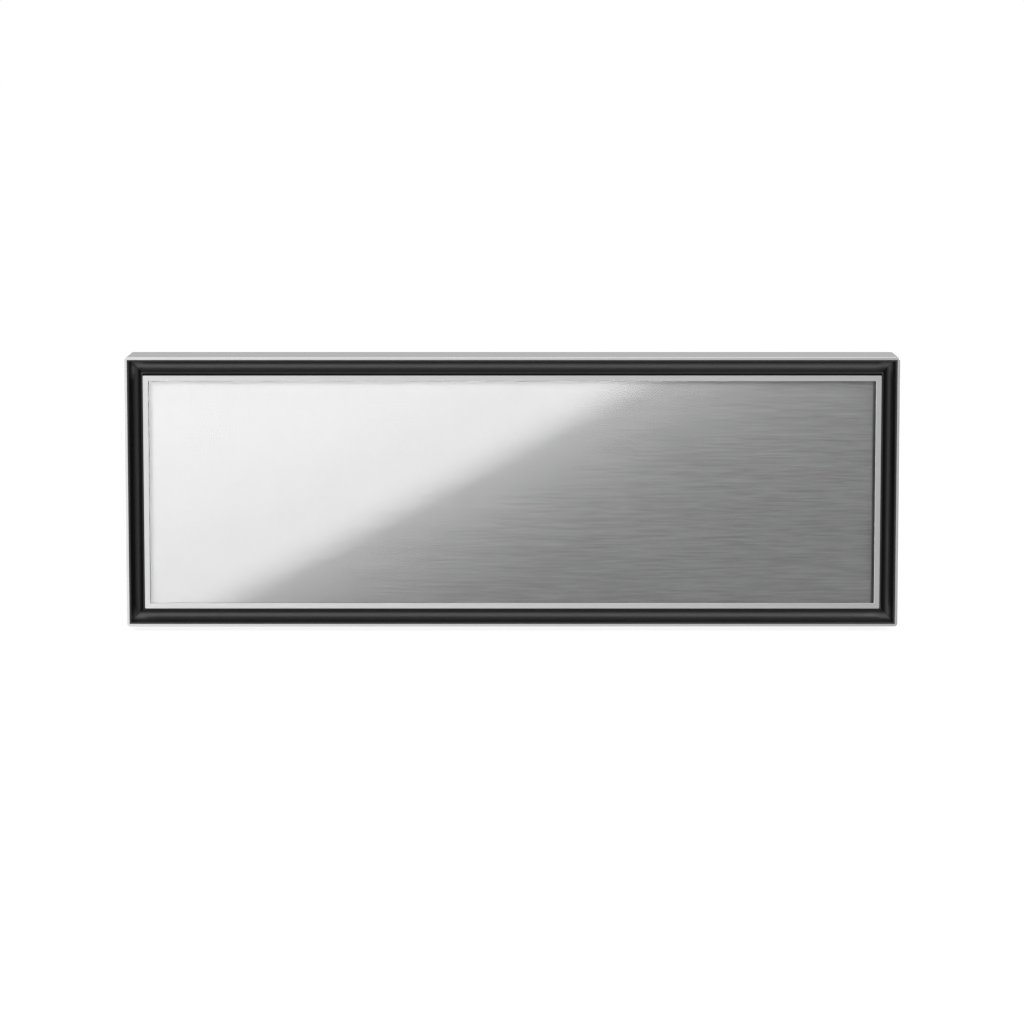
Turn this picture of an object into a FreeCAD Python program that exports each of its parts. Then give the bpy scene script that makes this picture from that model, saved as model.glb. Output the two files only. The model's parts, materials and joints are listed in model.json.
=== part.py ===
import FreeCAD, Part
import math
import os

# Handleless warming drawer with a framed, glass-fronted drawer in a sheet-metal casing.
#
# Millimetres. X is to the right, Y to the back, Z up. The origin is on the ground under the
# middle of the bounding box. Depths are written as s, the distance behind the front plane,
# and become Y in the helpers below.

Vector = FreeCAD.Vector
touching = 0.01

# ------------------------------------------------------------------ driving dimensions

# Front frame: a fixed metal surround with a flange behind, which meets the furniture
frame_width = 590.0
frame_height = 207.0
frame_depth = 47.0
frame_wall = 2.0
frame_corner_radius = 2.5
frame_edge_radius = 0.5
frame_flange = 10.0
frame_flange_thickness = 2.0
frame_ground_gap = 4.0

# Groove: the rounded recess between the frame and the drawer front
groove_width = 12.0
groove_depth = 14.0
liner_wall = 1.2
liner_setback = 0.6
liner_foot = 9.0
liner_lip = 2.0
front_running_gap = 0.8

# Drawer front: trim, glass, steel sheet, carrier, core and inner panel, from front to back
front_thickness = 26.0
trim_face = 4.2
trim_thickness = 1.0
trim_leg_wall = 1.2
trim_corner_radius = 0.8
trim_edge_radius = 0.25
glass_thickness = 3.2
glass_edge_gap = 0.3
backing_thickness = 0.8
backing_gap = 0.1
carrier_wall = 2.6
carrier_front_gap = 0.2
carrier_boss_radius = 3.5
carrier_boss_depth = 13.0
boss_sink = 0.6
boss_corner_inset = 36.0
top_boss_count = 5
side_boss_inset = 44.75
backing_edge_gap = 0.2
core_gap = 0.3
inner_panel_sheet = 1.0
inner_panel_inset = 0.6
inner_panel_radius = 3.0

# Front plate: the wall behind the drawer front, which carries frame and casing
plate_gap = 6.0
plate_sheet = 1.2
plate_edge_gap = 0.3
gasket_width = 8.0
gasket_base = 2.0
gasket_opening_gap = 1.5
gasket_taper = 0.4
push_travel = 2.0
push_clearance = 0.3
spacer_radius = 4.0
niche_hole_radius = 2.4
spacer_end_inset = 36.0
spacer_corner_inset = 95.0
side_spacer_count = 3
top_spacer_count = 4

# Casing
total_depth = 500.0
casing_height = 151.0
casing_sheet = 1.0
casing_frame_gap = 1.0
casing_side_gap = 9.0
casing_flange = 12.0
casing_front_flange = 9.5
casing_screw_inset = 22.0
cover_screw_inset = 36.0
cover_screw_count = 4
base_flange = 12.0
base_screw_rise = 7.2
base_screw_inset = 45.0
base_screw_count = 3
side_slot_start = 70.0
side_slot_count = 5
side_slot_width = 3.0
side_slot_pitch = 8.0
side_slot_height = 60.0
cover_slot_start = 60.0
cover_slot_count = 16
cover_slot_width = 3.0
cover_slot_pitch = 9.0
cover_slot_length = 34.0
rear_recess = 3.5
rear_tab = 12.0
rear_tab_gap = 2.0
rear_fold = 8.0
rear_screw_inset = 24.0
rear_panel_gap = 0.3
rear_slot_count = 18
rear_slot_width = 3.5
rear_slot_pitch = 9.0
rear_slot_height = 42.0
foot_radius = 15.0
foot_taper = 2.0
foot_edge_radius = 1.2
foot_stud_radius = 2.8
foot_inset = 45.0
front_foot_depth = 80.0

# Cavity: the heated box that the drawer runs in
cavity_sheet = 0.8
side_zone = 38.0
floor_zone = 16.0
ceiling_zone = 26.0
rear_zone = 54.0
insulation_gap = 0.3
top_insulation_height = 17.0
side_insulation_gap = 6.0
side_insulation_start = 110.0
insulation_front_gap = 17.0
insulation_back_gap = 6.0

# Drawer tray
drawer_travel = 380.0
tray_sheet = 1.0
tray_floor_gap = 4.0
tray_top_gap = 10.0
tray_back_gap = 13.0
tray_rim = 6.0
tray_corner_radius = 12.0
tray_floor_radius = 5.0
tray_slot_width = 5.0
tray_slot_height = 45.0
tray_slot_pitch = 14.0
tray_slot_count = 13
tray_screw_inset = 40.0
tray_screw_low = 22.0
tray_screw_high = 18.0
tray_screw_columns = 4
tray_screw_bite = 7.0
slot_rounding = 0.45
base_glass_thickness = 4.0
base_glass_gap = 0.5
mat_thickness = 2.0
mat_inset = 4.0

# Telescopic rails: three nested members a side with two ball cages between them
rail_thickness = 12.7
rail_height = 45.0
rail_sheet = 1.2
rail_above_tray_floor = 11.0
rail_front_gap = 4.8
rail_back_gap = 6.0
ball_radius = 1.8
ball_clearance = 0.35
cage_sheet = 0.7
cage_hole_gap = 0.15
cage_end_margin = 2.0
cage_strip_margin = 0.7
ball_count = 8
cabinet_flange = 9.0
middle_offset = 3.4
middle_flange = 5.9
inner_flange = 6.4
rail_screw_inset = 40.0
rail_screw_count = 3
rail_screw_bite = 3.5

# Fan heater behind the cavity
fan_radius = 32.0
fan_length = 14.0
fan_blade_count = 12
fan_hub_radius = 10.0
fan_disc = 1.2
fan_blade = 1.0
fan_back_gap = 6.0
hub_cap = 2.0
shaft_radius = 2.0
shaft_running_gap = 0.05
shaft_end_gap = 4.0
shaft_hole_gap = 1.0
duct_half_width = 85.0
duct_half_height = 47.0
duct_depth = 27.0
duct_sheet = 0.8
heater_ring_radius = 40.0
heater_tube_radius = 3.2
heater_gap_angle = 40.0
heater_hole_gap = 0.4
heater_leg = 5.0
heater_pin_radius = 1.2
heater_pin = 6.0
motor_radius = 25.0
motor_length = 17.0
motor_edge_radius = 2.5
cutout_x = 60.0
cutout_rise = 26.0
cutout_radius = 8.0
cutout_thickness = 5.0
cutout_tab = (0.8, 6.0, 6.0)
cutout_tab_pitch = 9.0
sensor_x = 118.0
sensor_height = 116.0
sensor_radius = 2.5
sensor_reach = 6.0
sensor_seat_radius = 5.0
sensor_seat = 5.0
sensor_tail_radius = 1.5
sensor_tail = 7.0
grille_slot_width = 4.0
grille_slot_height = 70.0
grille_slot_pitch = 10.0
grille_slot_count = 15

# Controls beside the drawer
knob_radius = 10.0
knob_gap = 1.2
pocket_wall = 1.2
pocket_depth = 13.0
panel_thickness = 1.6
panel_height = 92.0
panel_border = 0.5
panel_top_border = 4.0
panel_corner_radius = 3.0
panel_side_gap = 0.6
control_height = 110.0
knob_recess = 0.4
knob_back_gap = 0.6
knob_grip_width = 4.0
knob_grip_height = 5.0
knob_grip_root = 1.0
knob_grip_inset = 1.0
knob_shaft_radius = 3.0
knob_shaft_gap = 0.3
knob_shaft_length = 6.0
switch_side = 22.0
switch_length = 24.0
switch_bore = 8.0
switch_corner_radius = 2.0
lamp_radius = 2.6
lamp_proud = 0.2
lamp_hole_gap = 0.1
lamp_body_wall = 0.8
lamp_body_gap = 1.0
lamp_body_length = 15.0
lamp_drop = 34.0

# Touch latch behind the drawer
latch_x = -150.0
latch_height = 62.0
latch_barrel_radius = 7.0
latch_barrel_length = 45.0
latch_barrel_end = 1.5
latch_bore_gap = 0.4
striker_radius = 3.0
striker_reach = 9.0
striker_foot = (26.0, 20.0, 1.5)
striker_chamfer = 0.9
latch_foot = (32.0, 18.0, 2.0)
plunger_radius = 3.4
plunger_length = 13.0
plunger_travel = 2.0
spring_wire_radius = 0.4
spring_turns = 6
spring_end_gap = 0.1

# Electrical parts
inlet_x = -215.0
inlet_height = 122.0
inlet_width = 27.0
inlet_body_height = 20.0
inlet_depth = 27.0
inlet_hole_gap = 0.2
inlet_rim = 2.0
inlet_rim_thickness = 2.5
inlet_wall = 1.5
socket_depth = 16.0
socket_chamfer = 3.5
inlet_pin = (2.0, 4.0)
inlet_pin_recess = 1.0
inlet_pin_places = ((-7.0, -1.5), (7.0, -1.5), (0.0, 3.0))
terminal_height = 60.0
terminal_width = 50.0
terminal_body_height = 22.0
terminal_depth = 20.0
terminal_ways = 5
terminal_hole_radius = 2.6
terminal_hole_depth = 8.0
terminal_row_pitch = 10.0
board_x = 160.0
board_width = 100.0
board_height = 70.0
board_centre_height = 80.0
board_thickness = 1.6
board_gap = 14.0
standoff_inset = 6.0
standoff_radius = 3.5
standoff_head_radius = 2.6
standoff_head_height = 1.5
# Components on the board: lower left corner from its middle, width, height, thickness
transformer = (-22.0, -5.0, 26.0, 26.0, 20.0)
low_relay = (12.0, -22.0, 19.0, 15.0, 15.0)
high_relay = (12.0, 2.0, 19.0, 15.0, 15.0)
low_plug = (-20.0, -33.0, 22.0, 12.0, 11.0)
right_plug = (36.0, -14.0, 12.0, 24.0, 11.0)
left_plug = (-48.0, -10.0, 11.0, 20.0, 11.0)
capacitor_places = ((-30.0, -20.0), (-30.0, 22.0), (20.0, 26.0))
capacitor_radius = 5.0
capacitor_height = 17.0
wire_radius = 2.5
bend_share = 0.45
short_run = 13.0
long_run = 22.0
floor_run = 10.0
ceiling_run = 16.0
side_run = 15.0

# Fasteners
screw_radius = 1.5
screw_head_radius = 3.5
screw_head_height = 1.6
screw_hole_gap = 0.2
screw_end = 2.0
countersink_radius = 3.0
head_rounding = 0.45

# ------------------------------------------------------------------ places that follow

frame_half = frame_width / 2
frame_bottom = frame_ground_gap
frame_top = frame_ground_gap + frame_height
frame_inner_half = frame_half - frame_wall
frame_inner_bottom = frame_bottom + frame_wall
frame_inner_top = frame_top - frame_wall
flange_line_inset = frame_wall + frame_flange / 2

front_half = frame_inner_half - groove_width
front_bottom = frame_inner_bottom + groove_width
front_top = frame_inner_top - groove_width
glass_back = trim_thickness + glass_thickness
carrier_start = glass_back + carrier_front_gap
backing_front = glass_back + backing_gap
backing_back = backing_front + backing_thickness
inner_panel_front = front_thickness - inner_panel_sheet

plate_front = front_thickness + plate_gap
plate_back = plate_front + plate_sheet

casing_half = frame_inner_half - frame_flange - casing_side_gap
casing_bottom = frame_inner_bottom + frame_flange + casing_frame_gap
casing_top = casing_bottom + casing_height
rear_face = total_depth - rear_recess
rear_inside = rear_face - casing_sheet

cavity_half = casing_half - side_zone
cavity_bottom = casing_bottom + floor_zone
cavity_top = casing_top - ceiling_zone
cavity_back = total_depth - rear_zone
cavity_wall_back = cavity_back + cavity_sheet

tray_half = cavity_half - rail_thickness
tray_bottom = cavity_bottom + tray_floor_gap
tray_top = cavity_top - tray_top_gap
tray_back = cavity_back - tray_back_gap
tray_floor = tray_bottom + tray_sheet

rail_front = plate_back + rail_front_gap
rail_back = cavity_back - rail_back_gap
rail_bottom = tray_bottom + rail_above_tray_floor
cage_front = rail_front + drawer_travel / 4 + cage_end_margin
cage_back = rail_back - drawer_travel / 4 - cage_end_margin

fan_height = (cavity_bottom + cavity_top) / 2
duct_back = cavity_wall_back + duct_depth
fan_back = duct_back - fan_back_gap
motor_back = duct_back + motor_length
pocket_radius = knob_radius + knob_gap
panel_half = pocket_radius + pocket_wall + panel_border
control_x = casing_half - casing_sheet - panel_side_gap - panel_half
pocket_bottom = plate_front + pocket_depth
lamp_height = control_height - lamp_drop
inlet_front = rear_face - inlet_depth
board_back = rear_inside - board_gap
board_front = board_back - board_thickness
screw_hole = screw_radius + screw_hole_gap
latch_back = cavity_wall_back + latch_barrel_length
striker_tip = cavity_wall_back + striker_reach
plunger_front = striker_tip + push_travel + push_clearance
plunger_back = plunger_front + plunger_length


# ------------------------------------------------------------------ helpers

def to_y(s):
    """Y of a depth s behind the front plane."""
    return s - total_depth / 2


def block(x, s, z):
    """A box from its low and high X, depth and Z."""
    corner = Vector(x[0], to_y(s[0]), z[0])
    return Part.makeBox(x[1] - x[0], s[1] - s[0], z[1] - z[0], corner)


def rod_y(x, z, radius, s):
    """A cylinder along Y."""
    return Part.makeCylinder(radius, s[1] - s[0], Vector(x, to_y(s[0]), z), Vector(0, 1, 0))


def rod_x(s, z, radius, x):
    """A cylinder along X."""
    return Part.makeCylinder(radius, x[1] - x[0], Vector(x[0], to_y(s), z), Vector(1, 0, 0))


def rod_z(x, s, radius, z):
    """A cylinder along Z."""
    return Part.makeCylinder(radius, z[1] - z[0], Vector(x, to_y(s), z[0]), Vector(0, 0, 1))


def rounded_outline(a, b, radius):
    """A closed outline in XY, from its low and high X and Y, with round corners."""
    if radius <= 0:
        corners = [(a[0], b[0]), (a[1], b[0]), (a[1], b[1]), (a[0], b[1]), (a[0], b[0])]
        return Part.makePolygon([Vector(p, q, 0) for p, q in corners])
    edges = []
    for centre_a, centre_b, start in (
        (a[1] - radius, b[0] + radius, -90),
        (a[1] - radius, b[1] - radius, 0),
        (a[0] + radius, b[1] - radius, 90),
        (a[0] + radius, b[0] + radius, 180),
    ):
        centre = Vector(centre_a, centre_b, 0)
        edges.append(Part.makeCircle(radius, centre, Vector(0, 0, 1), start, start + 90))
    lines = []
    for this, following in zip(edges, edges[1:] + edges[:1]):
        end, begin = this.Vertexes[1].Point, following.Vertexes[0].Point
        if end.distanceToPoint(begin) > touching:
            lines.append(Part.makeLine(end, begin))
    return Part.Wire(Part.__sortEdges__(edges + lines))


def slab_y(half, z, radius, s, inset=0.0):
    """A rounded plate that faces the front, symmetric about X = 0, and taken in by inset all round."""
    outline = rounded_outline(
        (-half + inset, half - inset), (z[0] + inset, z[1] - inset), max(radius - inset, 0)
    )
    plate = Part.Face(outline).extrude(Vector(0, 0, s[1] - s[0]))
    plate.rotate(Vector(0, 0, 0), Vector(1, 0, 0), 90)
    plate.translate(Vector(0, to_y(s[1]), 0))
    return plate


def slab_z(x, s, radius, z):
    """A rounded plate that lies flat."""
    outline = rounded_outline(x, (to_y(s[0]), to_y(s[1])), radius)
    plate = Part.Face(outline).extrude(Vector(0, 0, z[1] - z[0]))
    plate.translate(Vector(0, 0, z[0]))
    return plate


def mirrored(shape):
    """The same shape on the other side of X = 0."""
    return shape.mirror(Vector(0, 0, 0), Vector(1, 0, 0))


def fused(shapes):
    """One solid from several that touch or overlap."""
    first, *rest = shapes
    return first.multiFuse(rest).removeSplitter() if rest else first


def spread(low, high, count):
    """Evenly spaced values from low to high."""
    return [low + (high - low) * k / (count - 1) for k in range(count)]


def centred(pitch, count):
    """Evenly spaced values on both sides of 0."""
    return spread(-pitch * (count - 1) / 2, pitch * (count - 1) / 2, count)


def around(middle, half):
    """The low and high value at equal distances from a middle."""
    return (middle - half, middle + half)


def grid(xs, ys):
    """Every pair of one value from xs and one from ys."""
    return [(x, y) for x in xs for y in ys]


def mitred_ring(profile, width, half, z):
    """Four bars with mitred ends round a rectangle. The profile is a face in XY: X inwards from
    the rectangle's edge, Y the depth s, and width is how far it reaches inwards."""
    bars = []
    middle = (z[0] + z[1]) / 2
    side_length, top_length = (z[1] - z[0]) / 2, half
    for length, angle, place in (
        (side_length, 0, Vector(-half, 0, middle)),
        (side_length, 180, Vector(half, 0, middle)),
        (top_length, -90, Vector(0, 0, z[0])),
        (top_length, 90, Vector(0, 0, z[1])),
    ):
        bar = profile.extrude(Vector(0, 0, 2 * length))
        bar.translate(Vector(0, to_y(0), -length))
        ends = Part.makePolygon([
            Vector(0, to_y(0), -length),
            Vector(0, to_y(0), length),
            Vector(width, to_y(0), length - width),
            Vector(width, to_y(0), width - length),
            Vector(0, to_y(0), -length),
        ])
        bar = bar.common(Part.Face(ends).extrude(Vector(0, total_depth, 0)))
        bar.rotate(Vector(0, 0, 0), Vector(0, 1, 0), angle)
        bar.translate(place)
        bars.append(bar)
    return bars


def cable(points, radius):
    """A round cable along straight runs joined by arcs that are tangent to both of their runs."""
    path = [Vector(x, to_y(s), z) for x, s, z in points]
    edges, start = [], path[0]
    for before, corner, after in zip(path, path[1:], path[2:]):
        back, ahead = before - corner, after - corner
        short = min(back.Length, ahead.Length)
        back.normalize()
        ahead.normalize()
        turn = math.pi - back.getAngle(ahead)
        reach = bend_share * short
        bend_radius = reach / math.tan(turn / 2)
        bisector = (back + ahead).normalize()
        middle_reach = bend_radius / math.cos(turn / 2) - bend_radius
        arc_start, arc_end = corner + back * reach, corner + ahead * reach
        edges.append(Part.makeLine(start, arc_start))
        edges.append(Part.Arc(arc_start, corner + bisector * middle_reach, arc_end).toShape())
        start = arc_end
    edges.append(Part.makeLine(start, path[-1]))
    spine = Part.Wire(edges)
    section = Part.Wire(Part.makeCircle(radius, path[0], path[1] - path[0]))
    return spine.makePipeShell([section], True, False, 1)


def pan_screw(place, direction, length):
    """A pan-head screw. Its head stands on place, and its shank runs against direction."""
    head = Part.makeCylinder(screw_head_radius, screw_head_height, place, direction)
    top = place + direction * screw_head_height
    rim = [e for e in head.Edges if e.CenterOfMass.distanceToPoint(top) < touching]
    head = head.makeFillet(screw_head_height * head_rounding, rim)
    shank = Part.makeCylinder(screw_radius, length, place - direction * length, direction)
    return fused([head, shank])


def flat_screw(place, direction, head_depth, length):
    """A countersunk screw. The face of its head is at place, and its shank runs against direction."""
    bottom = place - direction * head_depth
    head = Part.makeCone(screw_radius, countersink_radius, head_depth, bottom, direction)
    shank = Part.makeCylinder(screw_radius, length - head_depth, place - direction * length, direction)
    return fused([head, shank])


def countersink(place, direction, depth):
    """The room for a countersunk head, to be cut from a sheet."""
    mouth = countersink_radius + screw_hole_gap
    return Part.makeCone(screw_hole, mouth, depth, place - direction * depth, direction)


def save(name, shapes):
    """Writes one sub-part. Several shapes stay separate solids."""
    solids = [s for shape in shapes for s in shape.Solids]
    shape = solids[0] if len(solids) == 1 else Part.makeCompound(solids)
    shape.exportStep("parts/%s.step" % name)
    print("%-28s %3d solids %10.1f cm3" % (name, len(solids), shape.Volume / 1000))


back_wards = Vector(0, 1, 0)
front_wards = Vector(0, -1, 0)
left_wards = Vector(-1, 0, 0)
right_wards = Vector(1, 0, 0)
up = Vector(0, 0, 1)


# ------------------------------------------------------------------ front frame and groove

def spacer_heights():
    return spread(frame_bottom + spacer_end_inset, frame_top - spacer_end_inset, side_spacer_count)


def spacer_places():
    """Middles of the spacers, as (X, Z), on the middle line of the frame's flange."""
    side = frame_half - flange_line_inset
    corner = frame_half - spacer_corner_inset
    rows = (frame_bottom + flange_line_inset, frame_top - flange_line_inset)
    return grid((-side, side), spacer_heights()) + grid(spread(-corner, corner, top_spacer_count), rows)


def niche_hole_places():
    """Holes in the flange, midway between the spacers at the sides, for screws into furniture."""
    side = frame_half - flange_line_inset
    heights = spacer_heights()
    return grid((-side, side), [(low + high) / 2 for low, high in zip(heights, heights[1:])])


def front_frame():
    z = (frame_bottom, frame_top)
    shell = slab_y(frame_half, z, frame_corner_radius, (0, frame_depth))
    shell = shell.cut(slab_y(frame_half, z, 0, (0, frame_depth - frame_flange_thickness), frame_wall))
    shell = shell.cut(slab_y(frame_half, z, 0, (0, frame_depth), frame_wall + frame_flange))
    front_edges = []
    for edge in shell.Edges:
        box = edge.BoundBox
        outer = max(abs(box.XMin), abs(box.XMax)) > frame_inner_half + touching
        outer = outer or box.ZMax > frame_inner_top + touching or box.ZMin < frame_inner_bottom - touching
        if box.YMax < to_y(0) + touching and outer:
            front_edges.append(edge)
    shell = shell.makeFillet(frame_edge_radius, front_edges)
    flange_front = frame_depth - frame_flange_thickness
    for x, z in spacer_places():
        shell = shell.cut(countersink(Vector(x, to_y(frame_depth), z), back_wards, frame_flange_thickness))
    for x, z in niche_hole_places():
        shell = shell.cut(rod_y(x, z, niche_hole_radius, (flange_front, frame_depth)))
    return [shell]


def liner_level():
    """The depth where the rounded channel ends and the flat band starts."""
    return groove_depth - (groove_width - front_running_gap - 2 * liner_wall) / 2


def band_profile():
    """The flat band in front of the channel, along the frame's inside."""
    end = liner_level()
    corners = [(0, liner_setback), (liner_wall, liner_setback), (liner_wall, end), (0, end)]
    return Part.Face(Part.makePolygon([Vector(*c, 0) for c in corners + corners[:1]]))


def channel_profile():
    """Foot on the front plate, outer wall, and a rounded channel with a short inner lip."""
    inner_wall = groove_width - front_running_gap
    channel_radius = (inner_wall - 2 * liner_wall) / 2
    outer_radius = channel_radius + liner_wall
    centre = liner_wall + channel_radius
    level = liner_level()
    meets_wall = level + math.sqrt(outer_radius ** 2 - channel_radius ** 2)
    points = [
        (0, level),
        (0, plate_front),
        (liner_foot, plate_front),
        (liner_foot, plate_front - liner_wall),
        (liner_wall, plate_front - liner_wall),
        (liner_wall, meets_wall),
    ]
    outline = [Part.makeLine(Vector(*p, 0), Vector(*q, 0)) for p, q in zip(points, points[1:])]
    under = Vector(centre, groove_depth + liner_wall, 0)
    outline.append(Part.Arc(Vector(*points[-1], 0), under, Vector(inner_wall, level, 0)).toShape())
    lip = [
        (inner_wall, level),
        (inner_wall, level - liner_lip),
        (inner_wall - liner_wall, level - liner_lip),
        (inner_wall - liner_wall, level),
    ]
    outline += [Part.makeLine(Vector(*p, 0), Vector(*q, 0)) for p, q in zip(lip, lip[1:])]
    floor = Vector(centre, groove_depth, 0)
    outline.append(Part.Arc(Vector(*lip[-1], 0), floor, Vector(liner_wall, level, 0)).toShape())
    outline.append(Part.makeLine(Vector(liner_wall, level, 0), Vector(*points[0], 0)))
    return Part.Face(Part.Wire(outline))


def frame_liner():
    """A channel and a flat band on each side of the groove, mitred at the corners."""
    z = (frame_inner_bottom, frame_inner_top)
    profiles = (channel_profile(), band_profile())
    return [bar for p in profiles for bar in mitred_ring(p, groove_width, frame_inner_half, z)]


def frame_spacers():
    span = (plate_back, frame_depth - frame_flange_thickness)
    bodies = []
    for x, z in spacer_places():
        body = rod_y(x, z, spacer_radius, span)
        bodies.append(body.cut(rod_y(x, z, screw_hole, span)))
    return bodies


def frame_screws():
    places = [Vector(x, to_y(frame_depth), z) for x, z in spacer_places()]
    length = frame_depth - plate_front
    return [flat_screw(place, back_wards, frame_flange_thickness, length) for place in places]


# ------------------------------------------------------------------ front plate

def casing_screw_places():
    """Screws that hold the casing's front flanges to the front plate, as (X, Z)."""
    side = casing_half + casing_front_flange / 2
    heights = spread(casing_bottom + casing_screw_inset, casing_top - casing_screw_inset, side_spacer_count)
    return grid((-side, side), heights)


def front_plate():
    z = (frame_inner_bottom, frame_inner_top)
    span = (plate_front, plate_back)
    plate = slab_y(frame_inner_half, z, 0, span, plate_edge_gap)
    plate = plate.cut(slab_y(cavity_half, (cavity_bottom, cavity_top), 0, span))
    for x, z in spacer_places() + casing_screw_places():
        plate = plate.cut(rod_y(x, z, screw_hole, span))
    pocket = pocket_radius + pocket_wall + plate_edge_gap
    plate = plate.cut(rod_y(control_x, control_height, pocket, span))
    lamp = lamp_radius + lamp_body_wall + plate_edge_gap
    plate = plate.cut(rod_y(control_x, lamp_height, lamp, span))
    return [plate]


def drawer_gasket():
    """A bulb seal round the drawer opening, with a flat foot on the front plate."""
    reach = plate_gap - push_travel - push_clearance
    level = plate_front - reach + gasket_width / 2 - gasket_taper
    foot = plate_front - gasket_base
    right = gasket_width - gasket_taper
    corners = [(gasket_taper, level), (0, foot), (0, plate_front)]
    corners += [(gasket_width, plate_front), (gasket_width, foot), (right, level)]
    points = [Vector(*corner, 0) for corner in corners]
    edges = [Part.makeLine(p, q) for p, q in zip(points, points[1:])]
    crown = Vector(gasket_width / 2, plate_front - reach, 0)
    edges.append(Part.Arc(points[-1], crown, points[0]).toShape())
    out = gasket_opening_gap + gasket_width
    z = (cavity_bottom - out, cavity_top + out)
    return [fused(mitred_ring(Part.Face(Part.Wire(edges)), gasket_width, cavity_half + out, z))]


# ------------------------------------------------------------------ drawer front

def front_boss_places():
    """Screw bosses of the carrier, as (X, Z), just inside its wall."""
    inset = carrier_wall + carrier_boss_radius - boss_sink
    side = front_half - inset
    corner = side - boss_corner_inset
    heights = (front_bottom + side_boss_inset, front_top - side_boss_inset)
    rows = (front_bottom + inset, front_top - inset)
    return grid((-side, side), heights) + grid(spread(-corner, corner, top_boss_count), rows)


def front_slab(inset, s, radius=0.0):
    """A plate with the outline of the drawer front, taken in by inset."""
    return slab_y(front_half, (front_bottom, front_top), radius, s, inset)


def front_trim():
    trim = front_slab(0, (0, carrier_start), trim_corner_radius)
    trim = trim.cut(front_slab(trim_face, (0, carrier_start)))
    trim = trim.cut(front_slab(trim_leg_wall, (trim_thickness, carrier_start)))
    front_edges = [e for e in trim.Edges if e.BoundBox.YMax < to_y(0) + touching]
    return [trim.makeFillet(trim_edge_radius, front_edges)]


def front_glass():
    return [front_slab(trim_leg_wall + glass_edge_gap, (trim_thickness, glass_back))]


def front_backing():
    return [front_slab(carrier_wall + backing_edge_gap, (backing_front, backing_back))]


def front_carrier():
    span = (carrier_start, inner_panel_front)
    carrier = front_slab(0, span, trim_corner_radius).cut(front_slab(carrier_wall, span))
    boss_span = (inner_panel_front - carrier_boss_depth, inner_panel_front)
    places = front_boss_places()
    bosses = [rod_y(x, z, carrier_boss_radius, boss_span) for x, z in places]
    carrier = fused([carrier] + bosses)
    for x, z in places:
        carrier = carrier.cut(rod_y(x, z, screw_radius, boss_span))
    return [carrier]


def front_core():
    core = front_slab(carrier_wall + backing_edge_gap, (backing_back, inner_panel_front - core_gap))
    boss_span = (inner_panel_front - carrier_boss_depth - core_gap, inner_panel_front)
    for x, z in front_boss_places():
        core = core.cut(rod_y(x, z, carrier_boss_radius + core_gap, boss_span))
    bite = (front_thickness - tray_screw_bite - core_gap, inner_panel_front)
    for x, z in tray_screw_places():
        core = core.cut(rod_y(x, z, screw_hole, bite))
    return [core]


def front_inner_panel():
    span = (inner_panel_front, front_thickness)
    panel = front_slab(inner_panel_inset, span, inner_panel_radius)
    for x, z in front_boss_places():
        panel = panel.cut(countersink(Vector(x, to_y(front_thickness), z), back_wards, inner_panel_sheet))
    for x, z in tray_screw_places():
        panel = panel.cut(rod_y(x, z, screw_hole, span))
    return [panel]


def front_screws():
    places = [Vector(x, to_y(front_thickness), z) for x, z in front_boss_places()]
    length = inner_panel_sheet + carrier_boss_depth - 1.0
    return [flat_screw(place, back_wards, inner_panel_sheet, length) for place in places]


# ------------------------------------------------------------------ tray

def tray_screw_places():
    """Screws through the tray's front wall into the drawer front, as (X, Z)."""
    side = tray_half - tray_screw_inset
    heights = (tray_floor + tray_screw_low, tray_top - tray_screw_high)
    return grid(spread(-side, side, tray_screw_columns), heights)


def rail_screw_depths():
    """Depths of the screws along each rail."""
    return spread(rail_front + rail_screw_inset, rail_back - rail_screw_inset, rail_screw_count)


def drawer_tray():
    span = (front_thickness, tray_back)
    outer = slab_z((-tray_half, tray_half), span, tray_corner_radius, (tray_bottom, tray_top))
    floor_edges = [e for e in outer.Edges if e.BoundBox.ZMax < tray_bottom + touching]
    outer = outer.makeFillet(tray_floor_radius, floor_edges)
    inner_half = tray_half - tray_sheet
    inner_span = (front_thickness + tray_sheet, tray_back - tray_sheet)
    inner_radius = tray_corner_radius - tray_sheet
    hollow = slab_z((-inner_half, inner_half), inner_span, inner_radius, (tray_floor, tray_top + 1.0))
    floor_edges = [e for e in hollow.Edges if e.BoundBox.ZMax < tray_floor + touching]
    hollow = hollow.makeFillet(tray_floor_radius - tray_sheet, floor_edges)
    rim_half = tray_half + tray_rim
    rim = slab_z(
        (-rim_half, rim_half), (front_thickness, tray_back + tray_rim),
        tray_corner_radius, (tray_top - tray_sheet, tray_top),
    )
    tray = fused([outer, rim]).cut(hollow)
    middle = (tray_bottom + tray_top) / 2
    for x in centred(tray_slot_pitch, tray_slot_count):
        depths = (tray_back - 2 * tray_sheet, tray_back + tray_sheet)
        slot = block(around(x, tray_slot_width / 2), depths, around(middle, tray_slot_height / 2))
        upright = [e for e in slot.Edges if e.BoundBox.YLength > tray_sheet]
        tray = tray.cut(slot.makeFillet(tray_slot_width * slot_rounding, upright))
    for x, z in tray_screw_places():
        tray = tray.cut(rod_y(x, z, screw_hole, (front_thickness, front_thickness + tray_sheet)))
    height = rail_bottom + rail_height / 2
    for s in rail_screw_depths():
        hole = rod_x(s, height, screw_hole, (tray_half - 2 * tray_sheet, tray_half))
        tray = tray.cut(hole).cut(mirrored(hole))
    return [tray]


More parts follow.
